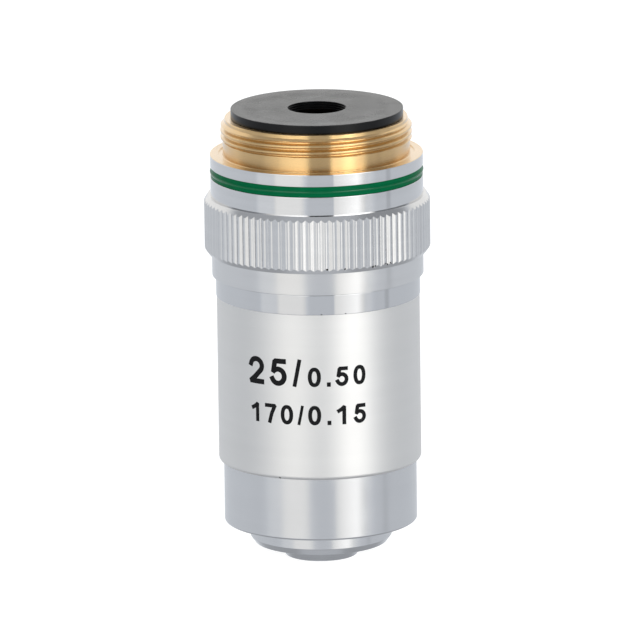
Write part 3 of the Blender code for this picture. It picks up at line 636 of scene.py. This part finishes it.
def spring(material):
    """Round wire of radius w on a helix: close turns at both ends and an even pitch between."""
    foot = foot_of("spring") + SPRING_WIRE / 2
    rise = top_of("spring") - foot_of("spring") - SPRING_WIRE
    turns = np.linspace(0.0, SPRING_TURNS, round(SPRING_TURNS * SPRING_STEPS_PER_TURN) + 1)
    end = SPRING_END_TURNS
    wire_rise = SPRING_WIRE * SPRING_END_PITCH
    knots = (0.0, end, SPRING_TURNS - end, SPRING_TURNS)
    heights = foot + np.interp(turns, knots, (0.0, end * wire_rise, rise - end * wire_rise, rise))
    angles = 2 * math.pi * turns
    outward = np.stack([np.cos(angles), np.sin(angles), np.zeros_like(angles)], axis=-1)
    middle = SPRING_RADIUS * outward + heights[:, None] * np.array([0.0, 0.0, 1.0])
    along = np.gradient(middle, axis=0)
    along /= np.linalg.norm(along, axis=1)[:, None]
    upward = np.cross(along, outward)
    size = np.full(len(turns), SPRING_WIRE / 2)
    order = np.concatenate([[0, 0], np.arange(len(turns)), [-1, -1]])
    end_size = SPRING_END_SIZE * size[0]
    size = np.concatenate([[0.0, end_size], size, [end_size, 0.0]])
    ring = np.linspace(0.0, 2 * math.pi, SPRING_ROUND_STEPS + 1)
    across, up = np.cos(ring)[:, None, None], np.sin(ring)[:, None, None]
    spokes = across * outward[order] - up * upward[order]
    points = middle[order] + size[None, :, None] * spokes
    piece = put_in_scene("coil_spring", points)
    finish_piece(piece, "housing", ["spring"], material)
    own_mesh(piece)
    return piece


# Figures


def arc(centre, size, start, end, steps=18):
    """Points on an ellipse about centre, from one angle to another, in degrees."""
    angles = np.radians(np.linspace(start, end, steps))
    return [(centre[0] + size[0] * math.cos(a), centre[1] + size[1] * math.sin(a)) for a in angles]


def pen_path(figure):
    """A figure's width and the pen's path in a box one unit high, and whether the path closes."""
    if figure == "0":
        width = 0.57
        angles = np.linspace(0.0, 2 * math.pi, 49)
        x = width / 2 * (1 + np.sign(np.cos(angles)) * np.abs(np.cos(angles)) ** 0.85)
        y = 0.5 * (1 + np.sign(np.sin(angles)) * np.abs(np.sin(angles)) ** 0.95)
        return width, list(zip(x, y)), True
    if figure == "1":
        return 0.33, [(0.0, 0.76), (0.16, 0.85), (0.33, 1.0), (0.33, 0.0)], False
    if figure == "2":
        width = 0.6
        bow = arc((width / 2, 0.7), (width / 2, 0.3), 168, -36)
        return width, bow + [(0.26, 0.22), (0.0, 0.0), (width, 0.0)], False
    if figure == "5":
        width = 0.57
        bowl = arc((width / 2 - 0.01, 0.32), (width / 2 + 0.01, 0.32), 138, -156, 26)
        return width, [(width - 0.03, 1.0), (0.13, 1.0)] + bowl, False
    if figure == "7":
        return 0.58, [(0.0, 1.0), (0.58, 1.0), (0.36, 0.52), (0.22, 0.0)], False
    if figure == "/":
        return 0.2, [(0.0, 0.0), (0.2, 1.0)], False
    return 0.0, [(0.0, 0.0), (0.0, 0.03)], False


def corners_cut(path, size):
    """The path with each corner sharper than 60 degrees made two, one size before and one after."""
    step = np.diff(path, axis=0)
    step /= np.linalg.norm(step, axis=1)[:, None]
    sharp = np.zeros(len(path), bool)
    sharp[1:-1] = (step[:-1] * step[1:]).sum(axis=1) < 0.5
    before = path - size * sharp[:, None] * np.vstack([step[:1], step])
    after = path + size * sharp[:, None] * np.vstack([step, step[-1:]])
    pairs = np.stack([before, after], axis=1).reshape(-1, 2)
    keep = np.stack([np.ones(len(path), bool), sharp], axis=1).reshape(-1)
    return pairs[keep]


def evenly_filled(path, longest):
    """The path with more points along its sides, none near a corner, so that steps are short."""
    along = np.concatenate([[0.0], np.cumsum(np.linalg.norm(np.diff(path, axis=0), axis=1))])
    stops = np.linspace(0.0, along[-1], math.ceil(along[-1] / longest) + 1)
    clear = np.abs(stops[:, None] - along[None, :]).min(axis=1) > 0.6 * longest
    stops = np.sort(np.concatenate([along, stops[clear]]))
    return np.stack([np.interp(stops, along, side) for side in path.T], axis=-1)


def pen_stroke(path, closed, pen):
    """A stroke's middle line, and its reach to the left edge: half a pen along mitred normals."""
    path = np.array(path, float)
    step = np.diff(path, axis=0)
    if closed:
        before = np.vstack([step[-1:], step])
        after = np.vstack([step, step[:1]])
    else:
        ends = step / np.linalg.norm(step, axis=1)[:, None] * pen / 2
        path[0] -= ends[0]
        path[-1] += ends[-1]
        before = np.vstack([step[:1], step])
        after = np.vstack([step, step[-1:]])
    before = before / np.linalg.norm(before, axis=1)[:, None]
    after = after / np.linalg.norm(after, axis=1)[:, None]
    normal = np.stack([-(before + after)[:, 1], (before + after)[:, 0]], axis=-1)
    normal /= np.linalg.norm(normal, axis=1)[:, None]
    side = np.stack([-before[:, 1], before[:, 0]], axis=-1)
    mitre = np.clip(1 / np.maximum((normal * side).sum(axis=1), 0.01), 1.0, FIGURE_MITRE_LIMIT)
    return path, normal * (mitre * pen / 2)[:, None]


def wrapped(flat, heights, levels):
    """Points at arc length s, height z and level above the barrel: angle = s / barrel radius."""
    angles = flat / BARREL_RADIUS
    radii = BARREL_RADIUS + levels
    return np.stack([radii * np.sin(angles), -radii * np.cos(angles), heights], axis=-1)


def figure_piece(name, figure, style, start, base, material):
    """One figure as a raised bar of paint, its section carried along the pen's path."""
    pen = style["slash_pen"] if figure == "/" else style["pen"]
    height = style["height"] - pen
    width, path, closed = pen_path(figure)
    path = np.array(path, float) * height + (start + pen / 2, base + pen / 2)
    path = evenly_filled(corners_cut(path, pen * FIGURE_CORNER), FIGURE_STEP)
    centre, reach = pen_stroke(path, closed, pen)
    share = np.array([-1.0, -1.0, -0.97, -0.8, 0.0, 0.8, 0.97, 1.0, 1.0, 0.0, -1.0])
    level = np.array([-1.0, 0.4, 0.8, 1.0, 1.0, 1.0, 0.8, 0.4, -1.0, -1.0, -1.0])
    level = np.where(level > 0, level * FIGURE_PROUD, level * FIGURE_SUNK)
    if not closed:
        repeat = np.concatenate([[0], np.arange(len(centre)), [len(centre) - 1]])
        centre, reach = centre[repeat], reach[repeat]
        flatten = np.ones(len(repeat))
        flatten[[0, -1]] = 0.0
    else:
        flatten = np.ones(len(centre))
    across = centre[:, None, :] + share[None, :, None] * reach[:, None, :]
    levels = np.where(flatten[:, None] > 0, level[None, :], -FIGURE_SUNK)
    points = wrapped(across[..., 0], across[..., 1], levels)
    piece = put_in_scene(name, points)
    finish_piece(piece, "housing", [], material)
    return start + width * height + pen


def figure_line(name, groups, line, material):
    """A line of figures, each group in its own size, with the line's own gaps between them."""
    place = line["start"]
    gaps = (*line["gaps"], 0.0)
    number = 0
    for text, style in groups:
        for figure in text:
            number += 1
            base = line["base"] + line["rise"] * (place - line["start"])
            end = figure_piece(f"{name}_{number}", figure, style, place, base, material)
            place = end + gaps[number - 1]


# Materials


class Tree:
    """Short calls that make and join the nodes of one tree."""

    def __init__(self, tree):
        self.tree = tree

    def node(self, kind, **settings):
        made = self.tree.nodes.new(kind)
        for name, value in settings.items():
            setattr(made, name, value)
        return made

    def give(self, socket, value):
        if isinstance(value, bpy.types.NodeSocket):
            self.tree.links.new(value, socket)
        elif value is not None:
            socket.default_value = value

    def feed(self, made, **values):
        """Give a node's inputs their values or links by name, with _ for a space."""
        for name, value in values.items():
            self.give(made.inputs[name.replace("_", " ")], value)
        return made

    def math(self, operation, first, second=None, third=None):
        made = self.node("ShaderNodeMath", operation=operation)
        for socket, value in zip(made.inputs, (first, second, third)):
            self.give(socket, value)
        return made.outputs[0]

    def vector(self, operation, first, second=None, output=0):
        made = self.node("ShaderNodeVectorMath", operation=operation)
        for socket, value in zip(made.inputs, (first, second)):
            self.give(socket, value)
        return made.outputs[output]

    def ramp(self, value, low, high, to_low=0.0, to_high=1.0, smooth=True):
        """Value from low to high becomes to_low to to_high, held at both ends."""
        made = self.node("ShaderNodeMapRange")
        made.interpolation_type = "SMOOTHSTEP" if smooth else "LINEAR"
        self.feed(made, Value=value, From_Min=low, From_Max=high, To_Min=to_low, To_Max=to_high)
        return made.outputs["Result"]

    def band(self, value, low, low_soft, high, high_soft):
        """One between low and high, fading to zero over the soft widths about them."""
        rises = self.ramp(value, low - low_soft, low + low_soft)
        falls = self.ramp(value, high - high_soft, high + high_soft, 1.0, 0.0)
        return self.math("MULTIPLY", rises, falls)

    def mix(self, factor, first, second):
        made = self.node("ShaderNodeMix", data_type="RGBA")
        self.give(made.inputs["Factor"], factor)
        self.give(made.inputs[6], first)
        self.give(made.inputs[7], second)
        return made.outputs[2]

    def mix_value(self, factor, first, second):
        made = self.node("ShaderNodeMix", data_type="FLOAT")
        self.give(made.inputs[0], factor)
        self.give(made.inputs[2], first)
        self.give(made.inputs[3], second)
        return made.outputs[0]

    def noise(self, vector, scale, detail=2.0, roughness=0.5, w=None):
        made = self.node("ShaderNodeTexNoise", noise_dimensions="4D" if w is not None else "3D")
        self.feed(made, Vector=vector, Scale=scale, Detail=detail, Roughness=roughness)
        if w is not None:
            self.feed(made, W=w)
        return made.outputs["Fac"]

    def scaled(self, vector, factor):
        made = self.node("ShaderNodeVectorMath", operation="SCALE")
        self.feed(made, Vector=vector, Scale=factor)
        return made.outputs[0]

    def choose(self, factor, first, second):
        """The first shader where the factor is nought, and the second where it is one."""
        made = self.node("ShaderNodeMixShader")
        for socket, value in zip(made.inputs, (factor, first, second)):
            self.give(socket, value)
        return made.outputs[0]

    def group(self, group, **values):
        return self.feed(self.node("ShaderNodeGroup", node_tree=group), **values)

    def millimetres(self):
        """The piece's own coordinates, in millimetres."""
        place = self.node("ShaderNodeTexCoord").outputs["Object"]
        return self.vector("MULTIPLY", place, (1000.0, 1000.0, 1000.0))

    def cylindrical(self):
        """Radius, height and the two parts of the direction round the axis."""
        split = self.node("ShaderNodeSeparateXYZ")
        self.give(split.inputs[0], self.millimetres())
        x, y, z = split.outputs
        square = self.math("ADD", self.math("MULTIPLY", x, x), self.math("MULTIPLY", y, y))
        radius = self.math("SQRT", square)
        safe = self.math("MAXIMUM", radius, 0.01)
        return radius, z, self.math("DIVIDE", x, safe), self.math("DIVIDE", y, safe)

    def combine(self, x, y, z):
        made = self.node("ShaderNodeCombineXYZ")
        for socket, value in zip(made.inputs, (x, y, z)):
            self.give(socket, value)
        return made.outputs[0]


def new_group(name, inputs, outputs):
    """A shader node group with named inputs (name, kind, default) and outputs (name, kind)."""
    group = bpy.data.node_groups.new(name, "ShaderNodeTree")
    for title, kind, value in inputs:
        socket = group.interface.new_socket(title, in_out="INPUT", socket_type=kind)
        socket.default_value = value
    for title, kind in outputs:
        group.interface.new_socket(title, in_out="OUTPUT", socket_type=kind)
    tree = Tree(group)
    return group, tree, tree.node("NodeGroupInput"), tree.node("NodeGroupOutput")


def turning_marks_group():
    """Fine rings left by the lathe: noise that changes along radius and height, not round them."""
    group, tree, entry, out = new_group(
        "turning_marks",
        [("Per Millimetre", "NodeSocketFloat", 8.0)],
        [("Height", "NodeSocketFloat"), ("Tone", "NodeSocketFloat")],
    )
    radius, height, across, along = tree.cylindrical()
    fine = entry.outputs["Per Millimetre"]
    vector = tree.combine(
        tree.math("MULTIPLY", radius, fine),
        tree.math("MULTIPLY", height, fine),
        tree.math("MULTIPLY", across, 0.6),
    )
    rings = tree.noise(vector, 1.0, 3.0, 0.65, tree.math("MULTIPLY", along, 0.6))
    wide = tree.vector("MULTIPLY", vector, (0.12, 0.12, 1.0))
    tone = tree.noise(wide, 1.0, 2.0, 0.5, 3.0)
    tree.give(out.inputs["Height"], rings)
    tree.give(out.inputs["Tone"], tone)
    return group


def handling_group():
    """Faint cloudy film from handling, as a mask of nought to one."""
    group, tree, entry, out = new_group(
        "handling_film",
        [("Scale", "NodeSocketFloat", 0.35)],
        [("Film", "NodeSocketFloat")],
    )
    place = tree.scaled(tree.millimetres(), entry.outputs["Scale"])
    cloud = tree.noise(place, 1.0, 4.0, 0.6)
    tree.give(out.inputs["Film"], tree.ramp(cloud, 0.42, 0.68))
    return group


def speck_group():
    """One dark chip of ragged outline at a place on the piece, as a mask."""
    group, tree, entry, out = new_group(
        "speck",
        [
            ("Place", "NodeSocketVector", (0.0, 0.0, 0.0)),
            ("Size", "NodeSocketFloat", 0.1),
        ],
        [("Mask", "NodeSocketFloat")],
    )
    place = tree.millimetres()
    away = tree.vector("DISTANCE", place, entry.outputs["Place"], output=1)
    ragged = tree.noise(place, 9.0, 2.0)
    away = tree.math("MULTIPLY", away, tree.ramp(ragged, 0.2, 0.8, 0.6, 1.6, smooth=False))
    size = entry.outputs["Size"]
    mask = tree.ramp(tree.math("DIVIDE", away, size), 0.75, 1.1, 1.0, 0.0)
    tree.give(out.inputs["Mask"], mask)
    return group


def new_material(name):
    material = bpy.data.materials.new(name)
    material.use_nodes = True
    tree = Tree(material.node_tree)
    return material, tree, material.node_tree.nodes["Principled BSDF"]


def add_bump(tree, shader, height, distance):
    """Bump whose full height, from nought to one, is that many millimetres."""
    bump = tree.node("ShaderNodeBump")
    tree.feed(bump, Strength=1.0, Distance=distance * MILLIMETRE, Height=height)
    tree.feed(shader, Normal=bump.outputs["Normal"])


def shaded(tree, colour, tone, amount):
    """A colour made up to that share lighter or darker by a tone of nought to one."""
    return tree.scaled(colour, tree.ramp(tone, 0.0, 1.0, 1 - amount, 1 + amount, smooth=False))


def with_specks(tree, base, rough, specks):
    """Base colour and roughness with a dark chip at each place."""
    for place, size in specks:
        mask = tree.group(GROUPS["speck"], Place=place, Size=size).outputs["Mask"]
        base = tree.mix(mask, base, (0.03, 0.028, 0.026, 1.0))
        rough = tree.mix_value(mask, rough, 0.6)
    return base, rough


def turned_metal(name, colour, roughness, marks, per_mm=8.0, depth=0.0004, specks=()):
    """Turned and plated metal: lathe rings, a faint film that dulls it, and named specks."""
    material, tree, shader = new_material(name)
    rings = tree.group(GROUPS["marks"], Per_Millimetre=per_mm)
    film = tree.group(GROUPS["film"], Scale=0.3).outputs["Film"]
    base = shaded(tree, colour[:3], rings.outputs["Tone"], marks)
    rough = tree.mix_value(film, roughness, roughness + 0.05)
    base, rough = with_specks(tree, base, rough, specks)
    tree.feed(shader, Base_Color=base, Roughness=rough, Metallic=1.0)
    add_bump(tree, shader, rings.outputs["Height"], depth)
    return material


def two_finish_metal(name, split, first, second):
    """Two finishes on one turned piece. Split makes the mask: nought is first and one is second."""
    material, tree, shader = new_material(name)
    mask = split(tree)
    rings = tree.group(GROUPS["marks"], Per_Millimetre=first["per_mm"])
    film = tree.group(GROUPS["film"], Scale=0.3).outputs["Film"]
    colour = tree.mix(mask, (*first["colour"], 1.0), (*second["colour"], 1.0))
    base = shaded(tree, colour, rings.outputs["Tone"], first["marks"])
    rough = tree.mix_value(mask, first["roughness"], second["roughness"])
    rough = tree.math("ADD", rough, tree.math("MULTIPLY", film, 0.02))
    base, rough = with_specks(tree, base, rough, second.get("specks", ()))
    tree.feed(shader, Base_Color=base, Roughness=rough, Metallic=1.0)
    if "spread" in first:
        tangent = tree.node("ShaderNodeTangent", direction_type="RADIAL", axis="Z").outputs[0]
        tree.feed(shader, Tangent=tangent, Anisotropic=first["spread"], Anisotropic_Rotation=0.25)
        tree.feed(shader, Coat_Weight=first["lacquer"], Coat_Roughness=0.2)
    grain = tree.noise(tree.millimetres(), 14.0, 3.0, 0.6)
    fine = tree.math("MULTIPLY", rings.outputs["Height"], first["depth"])
    coarse = tree.math("MULTIPLY", rings.outputs["Height"], second["depth"])
    coarse = tree.math("ADD", coarse, tree.math("MULTIPLY", grain, second["grain"]))
    add_bump(tree, shader, tree.mix_value(mask, fine, coarse), 1.0)
    return material


def plating_split(tree):
    """Plate starts just below the shoulder's edge and covers the outside of the head only."""
    radius, height = tree.cylindrical()[:2]
    wander = tree.math("MULTIPLY", tree.noise(tree.millimetres(), 1.5, 3.0), 0.05)
    below = tree.ramp(tree.math("ADD", height, wander), -0.02, 0.02, 1.0, 0.0)
    outside = tree.ramp(radius, GROOVE_RADIUS - 0.3, GROOVE_RADIUS - 0.1)
    return tree.math("MULTIPLY", below, outside)


def satin_split(tree):
    """Satin from the rim's lower edge down."""
    height = tree.cylindrical()[1]
    return tree.ramp(height, SATIN_TOP - 0.04, SATIN_TOP, 1.0, 0.0)


def black_material(name, colour, roughness, depth):
    """Black finish with a fine tooth, smoother near the rim, with thin dust on the disc's top."""
    material, tree, shader = new_material(name)
    radius, height = tree.cylindrical()[:2]
    rings = tree.group(GROUPS["marks"], Per_Millimetre=5.0)
    film = tree.group(GROUPS["film"], Scale=0.25).outputs["Film"]
    rim = tree.ramp(radius, 7.4, 8.2)
    rough = tree.mix_value(rim, roughness, roughness - 0.05)
    rough = tree.math("ADD", rough, tree.math("MULTIPLY", film, 0.06))
    black = shaded(tree, colour, rings.outputs["Tone"], 0.2)
    dust = tree.noise(tree.millimetres(), 0.3, 4.0, 0.6)
    on_top = tree.ramp(height, STOP_TOP - 0.08, STOP_TOP - 0.02)
    dust = tree.math("MULTIPLY", tree.ramp(dust, 0.34, 0.78), on_top)
    base = tree.mix(dust, black, (0.075, 0.073, 0.073, 1.0))
    tree.feed(shader, Base_Color=base, Roughness=rough, IOR=1.3)
    grain = tree.noise(tree.millimetres(), 20.0, 2.0)
    add_bump(tree, shader, tree.math("ADD", grain, rings.outputs["Height"]), depth)
    return material


def enamel_material():
    """Glossy green enamel, a little deeper in tone where it runs thick."""
    material, tree, shader = new_material("green_enamel")
    height = tree.cylindrical()[1]
    cloud = tree.noise(tree.millimetres(), 0.8, 3.0)
    colour = tree.mix(cloud, (0.0, 0.085, 0.030, 1.0), (0.0005, 0.115, 0.042, 1.0))
    tree.feed(shader, Base_Color=colour, Roughness=tree.ramp(cloud, 0.3, 0.7, 0.16, 0.24))
    middle = (GROOVE_TOP + GROOVE_FOOT) / 2 - RING_BEAD_DROP
    reach = RING_BEAD_WIDTH / 5
    worn = tree.band(height, middle - reach, 0.05, middle + reach, 0.05)
    tree.feed(shader, Coat_Weight=tree.math("MULTIPLY", worn, 0.55), Coat_Roughness=0.16)
    tree.feed(shader, Specular_IOR_Level=0.03)
    add_bump(tree, shader, tree.noise(tree.millimetres(), 3.0, 2.0), 0.004)
    return material


def paint_material():
    """Dull black paint in the figures, a little uneven."""
    material, tree, shader = new_material("figure_paint")
    cloud = tree.noise(tree.millimetres(), 6.0, 3.0)
    colour = tree.mix(cloud, (0.003, 0.003, 0.0035, 1.0), (0.008, 0.008, 0.009, 1.0))
    tree.feed(shader, Base_Color=colour, Roughness=tree.ramp(cloud, 0.3, 0.7, 0.5, 0.65))
    tree.feed(shader, Specular_IOR_Level=0.12)
    add_bump(tree, shader, cloud, 0.003)
    return material


def glass_material(name, colour, ior):
    """Clear optical glass with a thin coating's faint tint."""
    material, tree, shader = new_material(name)
    smear = tree.group(GROUPS["film"], Scale=0.8).outputs["Film"]
    base = tree.mix(smear, colour, (0.93, 0.95, 0.96, 1.0))
    rough = tree.ramp(smear, 0.0, 1.0, 0.01, 0.03, smooth=False)
    tree.feed(shader, Base_Color=base, Roughness=rough, Metallic=0.0, Transmission_Weight=1.0)
    tree.feed(shader, IOR=ior, Coat_Weight=0.2)
    return material


GROUPS = {
    "marks": turning_marks_group(),
    "film": handling_group(),
    "speck": speck_group(),
}

CHROME = (0.62, 0.622, 0.63)
GRIP_CHROME = (0.655, 0.652, 0.652)
SATIN = (0.71, 0.703, 0.69)
BRASS = (0.71, 0.475, 0.21)


def on_side(angle_degrees, radius, height):
    """A place on a turned side, from its angle round from the camera's side."""
    angle = math.radians(angle_degrees)
    return (radius * math.sin(angle), -radius * math.cos(angle), height)


def grip_specks():
    """Dark chips at the teeth's lower ends, from angle, height above the foot and size."""
    found = (
        (4.8, 0.04, 0.14), (14.0, 0.16, 0.13), (29.3, 0.02, 0.17), (30.6, 0.1, 0.1),
        (36.5, 0.08, 0.11), (38.2, 0.12, 0.12), (39.8, 0.04, 0.11), (41.1, 0.04, 0.12),
    )
    places = []
    for angle, rise, size in found:
        radius = float(tooth_radii(np.radians(angle)))
        places.append((on_side(angle, radius, tooth_feet(radius) + rise), size))
    return places


def sleeve_specks():
    """A nick at the sleeve's foot and two specks of dirt under the rim."""
    return [
        (on_side(-23.6, BARREL_RADIUS - 0.03, SLEEVE_FOOT + 0.12), 0.13),
        (on_side(1.7, RIM_RADIUS, SATIN_TOP + 0.03), 0.1),
        (on_side(15.3, RIM_RADIUS, SATIN_TOP + 0.05), 0.09),
    ]


def dress_inner_nodes():
    """Materials for the solids that stay as they are, all inside the housing and the nose."""
    brass = turned_metal("turned_brass", (0.60, 0.42, 0.18), 0.28, 0.12, 5.0, 0.002)
    steel = turned_metal("screw_steel", (0.46, 0.46, 0.47), 0.3, 0.08, 6.0, 0.001)
    black = black_material("blackened_brass", (0.012, 0.012, 0.013), 0.6, 0.004)
    crown = glass_material("crown_glass", (0.92, 0.95, 0.97, 1.0), 1.52)
    flint = glass_material("flint_glass", (0.95, 0.95, 0.92, 1.0), 1.62)
    by_slot = {"inner_brass": brass, "screw_steel": steel, "cell_black": black}
    for part in frame["record"]["subparts"]:
        node = frame["nodes"][part["node"]]
        if node.hide_render:
            continue
        if part["material_slot"] == "lens_glass":
            material = flint if part["node"].endswith("flint") else crown
        else:
            material = by_slot[part["material_slot"]]
        for holder in node.material_slots:
            holder.material = material


def dress_objective():
    """Make every piece that shows, with its material."""
    polished = {"colour": CHROME, "roughness": 0.07, "marks": 0.03, "per_mm": 8.0, "depth": 0.0003}
    bare = {
        "colour": BRASS, "roughness": 0.24, "marks": 0.08, "per_mm": 8.0, "depth": 0.0006,
        "spread": 1.0, "lacquer": 0.85,
    }
    plated = {**polished, "grain": 0.0}
    satin = {
        "colour": SATIN, "roughness": 0.45, "depth": 0.0006, "grain": 0.0008,
        "specks": sleeve_specks(),
    }
    chrome = turned_metal("bright_chrome", CHROME, 0.19, 0.03)
    grip_chrome = turned_metal("grip_chrome", GRIP_CHROME, 0.17, 0.05, specks=grip_specks())
    mount_body(two_finish_metal("plated_brass", plating_split, bare, plated))
    colour_ring(enamel_material())
    rear_stop(black_material("black_anodised", (0.003, 0.003, 0.0033), 0.24, 0.003))
    knurled_collar(grip_chrome)
    outer_sleeve(two_finish_metal("satin_chrome", satin_split, polished, satin))
    nose_shell(chrome)
    front_cell(chrome)
    front_lens(glass_material("front_lens_glass", (0.9, 0.93, 0.97, 1.0), 1.52))
    spring(turned_metal("spring_steel", (0.5, 0.51, 0.52), 0.25, 0.05))
    paint = paint_material()
    figure_line("upper_figure", [("25/", LARGE_FIGURE), ("0.50", SMALL_FIGURE)], UPPER_LINE, paint)
    figure_line("lower_figure", [("170/0.15", SMALL_FIGURE)], LOWER_LINE, paint)
    dress_inner_nodes()


# Studio


def studio_light(tree):
    """Strength of the studio in each direction, from its angle round and its height.

    Below the horizon it is the white table, lit through two large soft boxes with a gap where the
    camera stands. Above it are the boxes themselves, the dark gap, a pale backdrop behind and a
    dimmer ceiling.
    """
    direction = tree.node("ShaderNodeTexCoord").outputs["Generated"]
    split = tree.node("ShaderNodeSeparateXYZ")
    tree.give(split.inputs[0], direction)
    x, y, z = split.outputs
    to_degrees = 180 / math.pi
    azimuth = tree.math("ARCTAN2", x, tree.math("MULTIPLY", y, -1.0))
    azimuth = tree.math("MULTIPLY", azimuth, to_degrees)
    aside = tree.math("ABSOLUTE", azimuth)
    elevation = tree.math("MULTIPLY", tree.math("ARCSINE", z), to_degrees)

    def add(total, mask, amount):
        return tree.math("MULTIPLY_ADD", mask, amount, total)

    table = add(0.74, tree.band(azimuth, -68, 3, -46, 3), 0.15)
    table = add(table, tree.band(azimuth, -46, 3, -14, 6), 0.35)
    right = tree.band(azimuth, 18, 0.8, 50, 6)
    rising = tree.ramp(azimuth, 18, 44, 0.32, 0.78, smooth=False)
    table = add(table, tree.math("MULTIPLY", right, rising), 1.0)
    table = add(table, tree.band(azimuth, 51, 5, 64, 6), 0.16)
    table = add(table, tree.band(azimuth, 81, 2, 87, 2), -0.15)
    table = add(table, tree.ramp(azimuth, -80, -100), 0.02)
    table = add(table, tree.ramp(aside, 164, 179), 0.26)

    left_end = tree.ramp(azimuth, -13, -7, 1.0, 0.0)
    left = tree.math("MULTIPLY", tree.ramp(azimuth, -76, -18), left_end)
    boxes = add(0.4, left, 2.3)
    boxes = add(boxes, tree.band(azimuth, 18, 1, 62, 6), 2.5)
    boxes = add(boxes, tree.band(azimuth, 34, 8, 46, 8), 1.9)
    boxes = add(boxes, tree.ramp(azimuth, -100, -116), 0.7)
    boxes = add(boxes, tree.ramp(azimuth, 107, 124), 0.68)
    spot_height = tree.band(elevation, 6, 1, 22, 2)
    spot = tree.math("MULTIPLY", tree.band(azimuth, -9, 2, 17, 1), spot_height)
    boxes = add(boxes, spot, -0.34)

    front = tree.ramp(elevation, -7, 0)
    strength = tree.mix_value(front, table, boxes)
    back = tree.ramp(aside, 100, 118, 0.0, 14.0)
    ceiling = tree.ramp(tree.math("SUBTRACT", elevation, back), 27, 37)
    overhead = add(0.58, tree.band(azimuth, -118, 8, -48, 10), -0.1)
    overhead = add(overhead, tree.band(azimuth, 54, 10, 112, 8), -0.21)
    strength = tree.mix_value(ceiling, strength, overhead)
    shade = add(0.45, tree.ramp(elevation, -69, -75), 0.17)
    below = tree.ramp(elevation, -42, -22, 1.0, 0.0)
    return tree.mix_value(below, strength, shade)


def build_world():
    """White for the camera and through glass, and the soft studio for everything else."""
    world = bpy.data.worlds.new("studio")
    world.use_nodes = True
    bpy.context.scene.world = world
    tree = Tree(world.node_tree)
    out = world.node_tree.nodes["World Output"]
    studio = world.node_tree.nodes["Background"]
    strength = studio_light(tree)
    direct = tree.ramp(strength, 0.8, 1.05)
    colour = tree.mix(direct, (0.955, 1.0, 1.065, 1.0), (1.0, 1.0, 0.99, 1.0))
    tree.feed(studio, Color=colour, Strength=strength)
    white = tree.feed(tree.node("ShaderNodeBackground"), Color=(1.0, 1.0, 1.0, 1.0), Strength=1.0)
    path = tree.node("ShaderNodeLightPath").outputs
    seen = tree.math("MAXIMUM", path["Is Camera Ray"], path["Is Transmission Ray"])
    tree.feed(out, Surface=tree.choose(seen, studio.outputs[0], white.outputs[0]))


def build_floor():
    """Plain white floor at the tip's height, with the object's shadow. It is clear from below."""
    mesh = bpy.data.meshes.new("floor")
    reach = FLOOR_RADIUS * MILLIMETRE
    height = TIP_FOOT * MILLIMETRE
    sides = ((-reach, -reach), (reach, -reach), (reach, reach), (-reach, reach))
    corners = [(x, y, height) for x, y in sides]
    mesh.from_pydata(corners, [], [(0, 1, 2, 3)])
    floor = new_object("floor", mesh)
    material = bpy.data.materials.new("floor_white")
    material.use_nodes = True
    nodes = material.node_tree.nodes
    nodes.remove(nodes["Principled BSDF"])
    tree = Tree(material.node_tree)
    paper = tree.feed(tree.node("ShaderNodeBsdfDiffuse"), Color=(0.4, 0.4, 0.4, 1.0))
    glow = tree.feed(tree.node("ShaderNodeEmission"), Strength=0.84)
    clear = tree.node("ShaderNodeBsdfTransparent")
    path = tree.node("ShaderNodeLightPath").outputs
    white = tree.node("ShaderNodeAddShader")
    tree.give(white.inputs[0], paper.outputs[0])
    tree.give(white.inputs[1], glow.outputs[0])
    back = tree.node("ShaderNodeNewGeometry").outputs["Backfacing"]
    hidden = tree.math("MAXIMUM", back, path["Is Glossy Ray"])
    surface = tree.choose(hidden, white.outputs[0], clear.outputs[0])
    tree.feed(nodes["Material Output"], Surface=surface)
    mesh.materials.append(material)


def build_camera():
    """Camera at the photograph's angle, with its small roll."""
    data = bpy.data.cameras.new("camera")
    data.sensor_width = 36.0
    data.lens = CAMERA_LENS
    data.clip_start = 0.05
    data.clip_end = 20.0
    camera = new_object("camera", data)
    sine, cosine = math.sin(CAMERA_ELEVATION), math.cos(CAMERA_ELEVATION)
    back = Vector((0.0, -cosine, sine))
    right = Vector((1.0, 0.0, 0.0))
    up = Vector((0.0, sine, cosine))
    rolled_up = up * math.cos(CAMERA_ROLL) + right * math.sin(CAMERA_ROLL)
    rolled_right = right * math.cos(CAMERA_ROLL) - up * math.sin(CAMERA_ROLL)
    turn = Matrix((rolled_right, rolled_up, back)).transposed().to_4x4()
    place = (Vector(CAMERA_AIM) + CAMERA_DISTANCE * back) * MILLIMETRE
    camera.matrix_world = Matrix.Translation(place) @ turn
    bpy.context.scene.camera = camera


build_camera()
build_world()
build_floor()
dress_objective()
bpy.context.scene.view_settings.view_transform = "Standard"
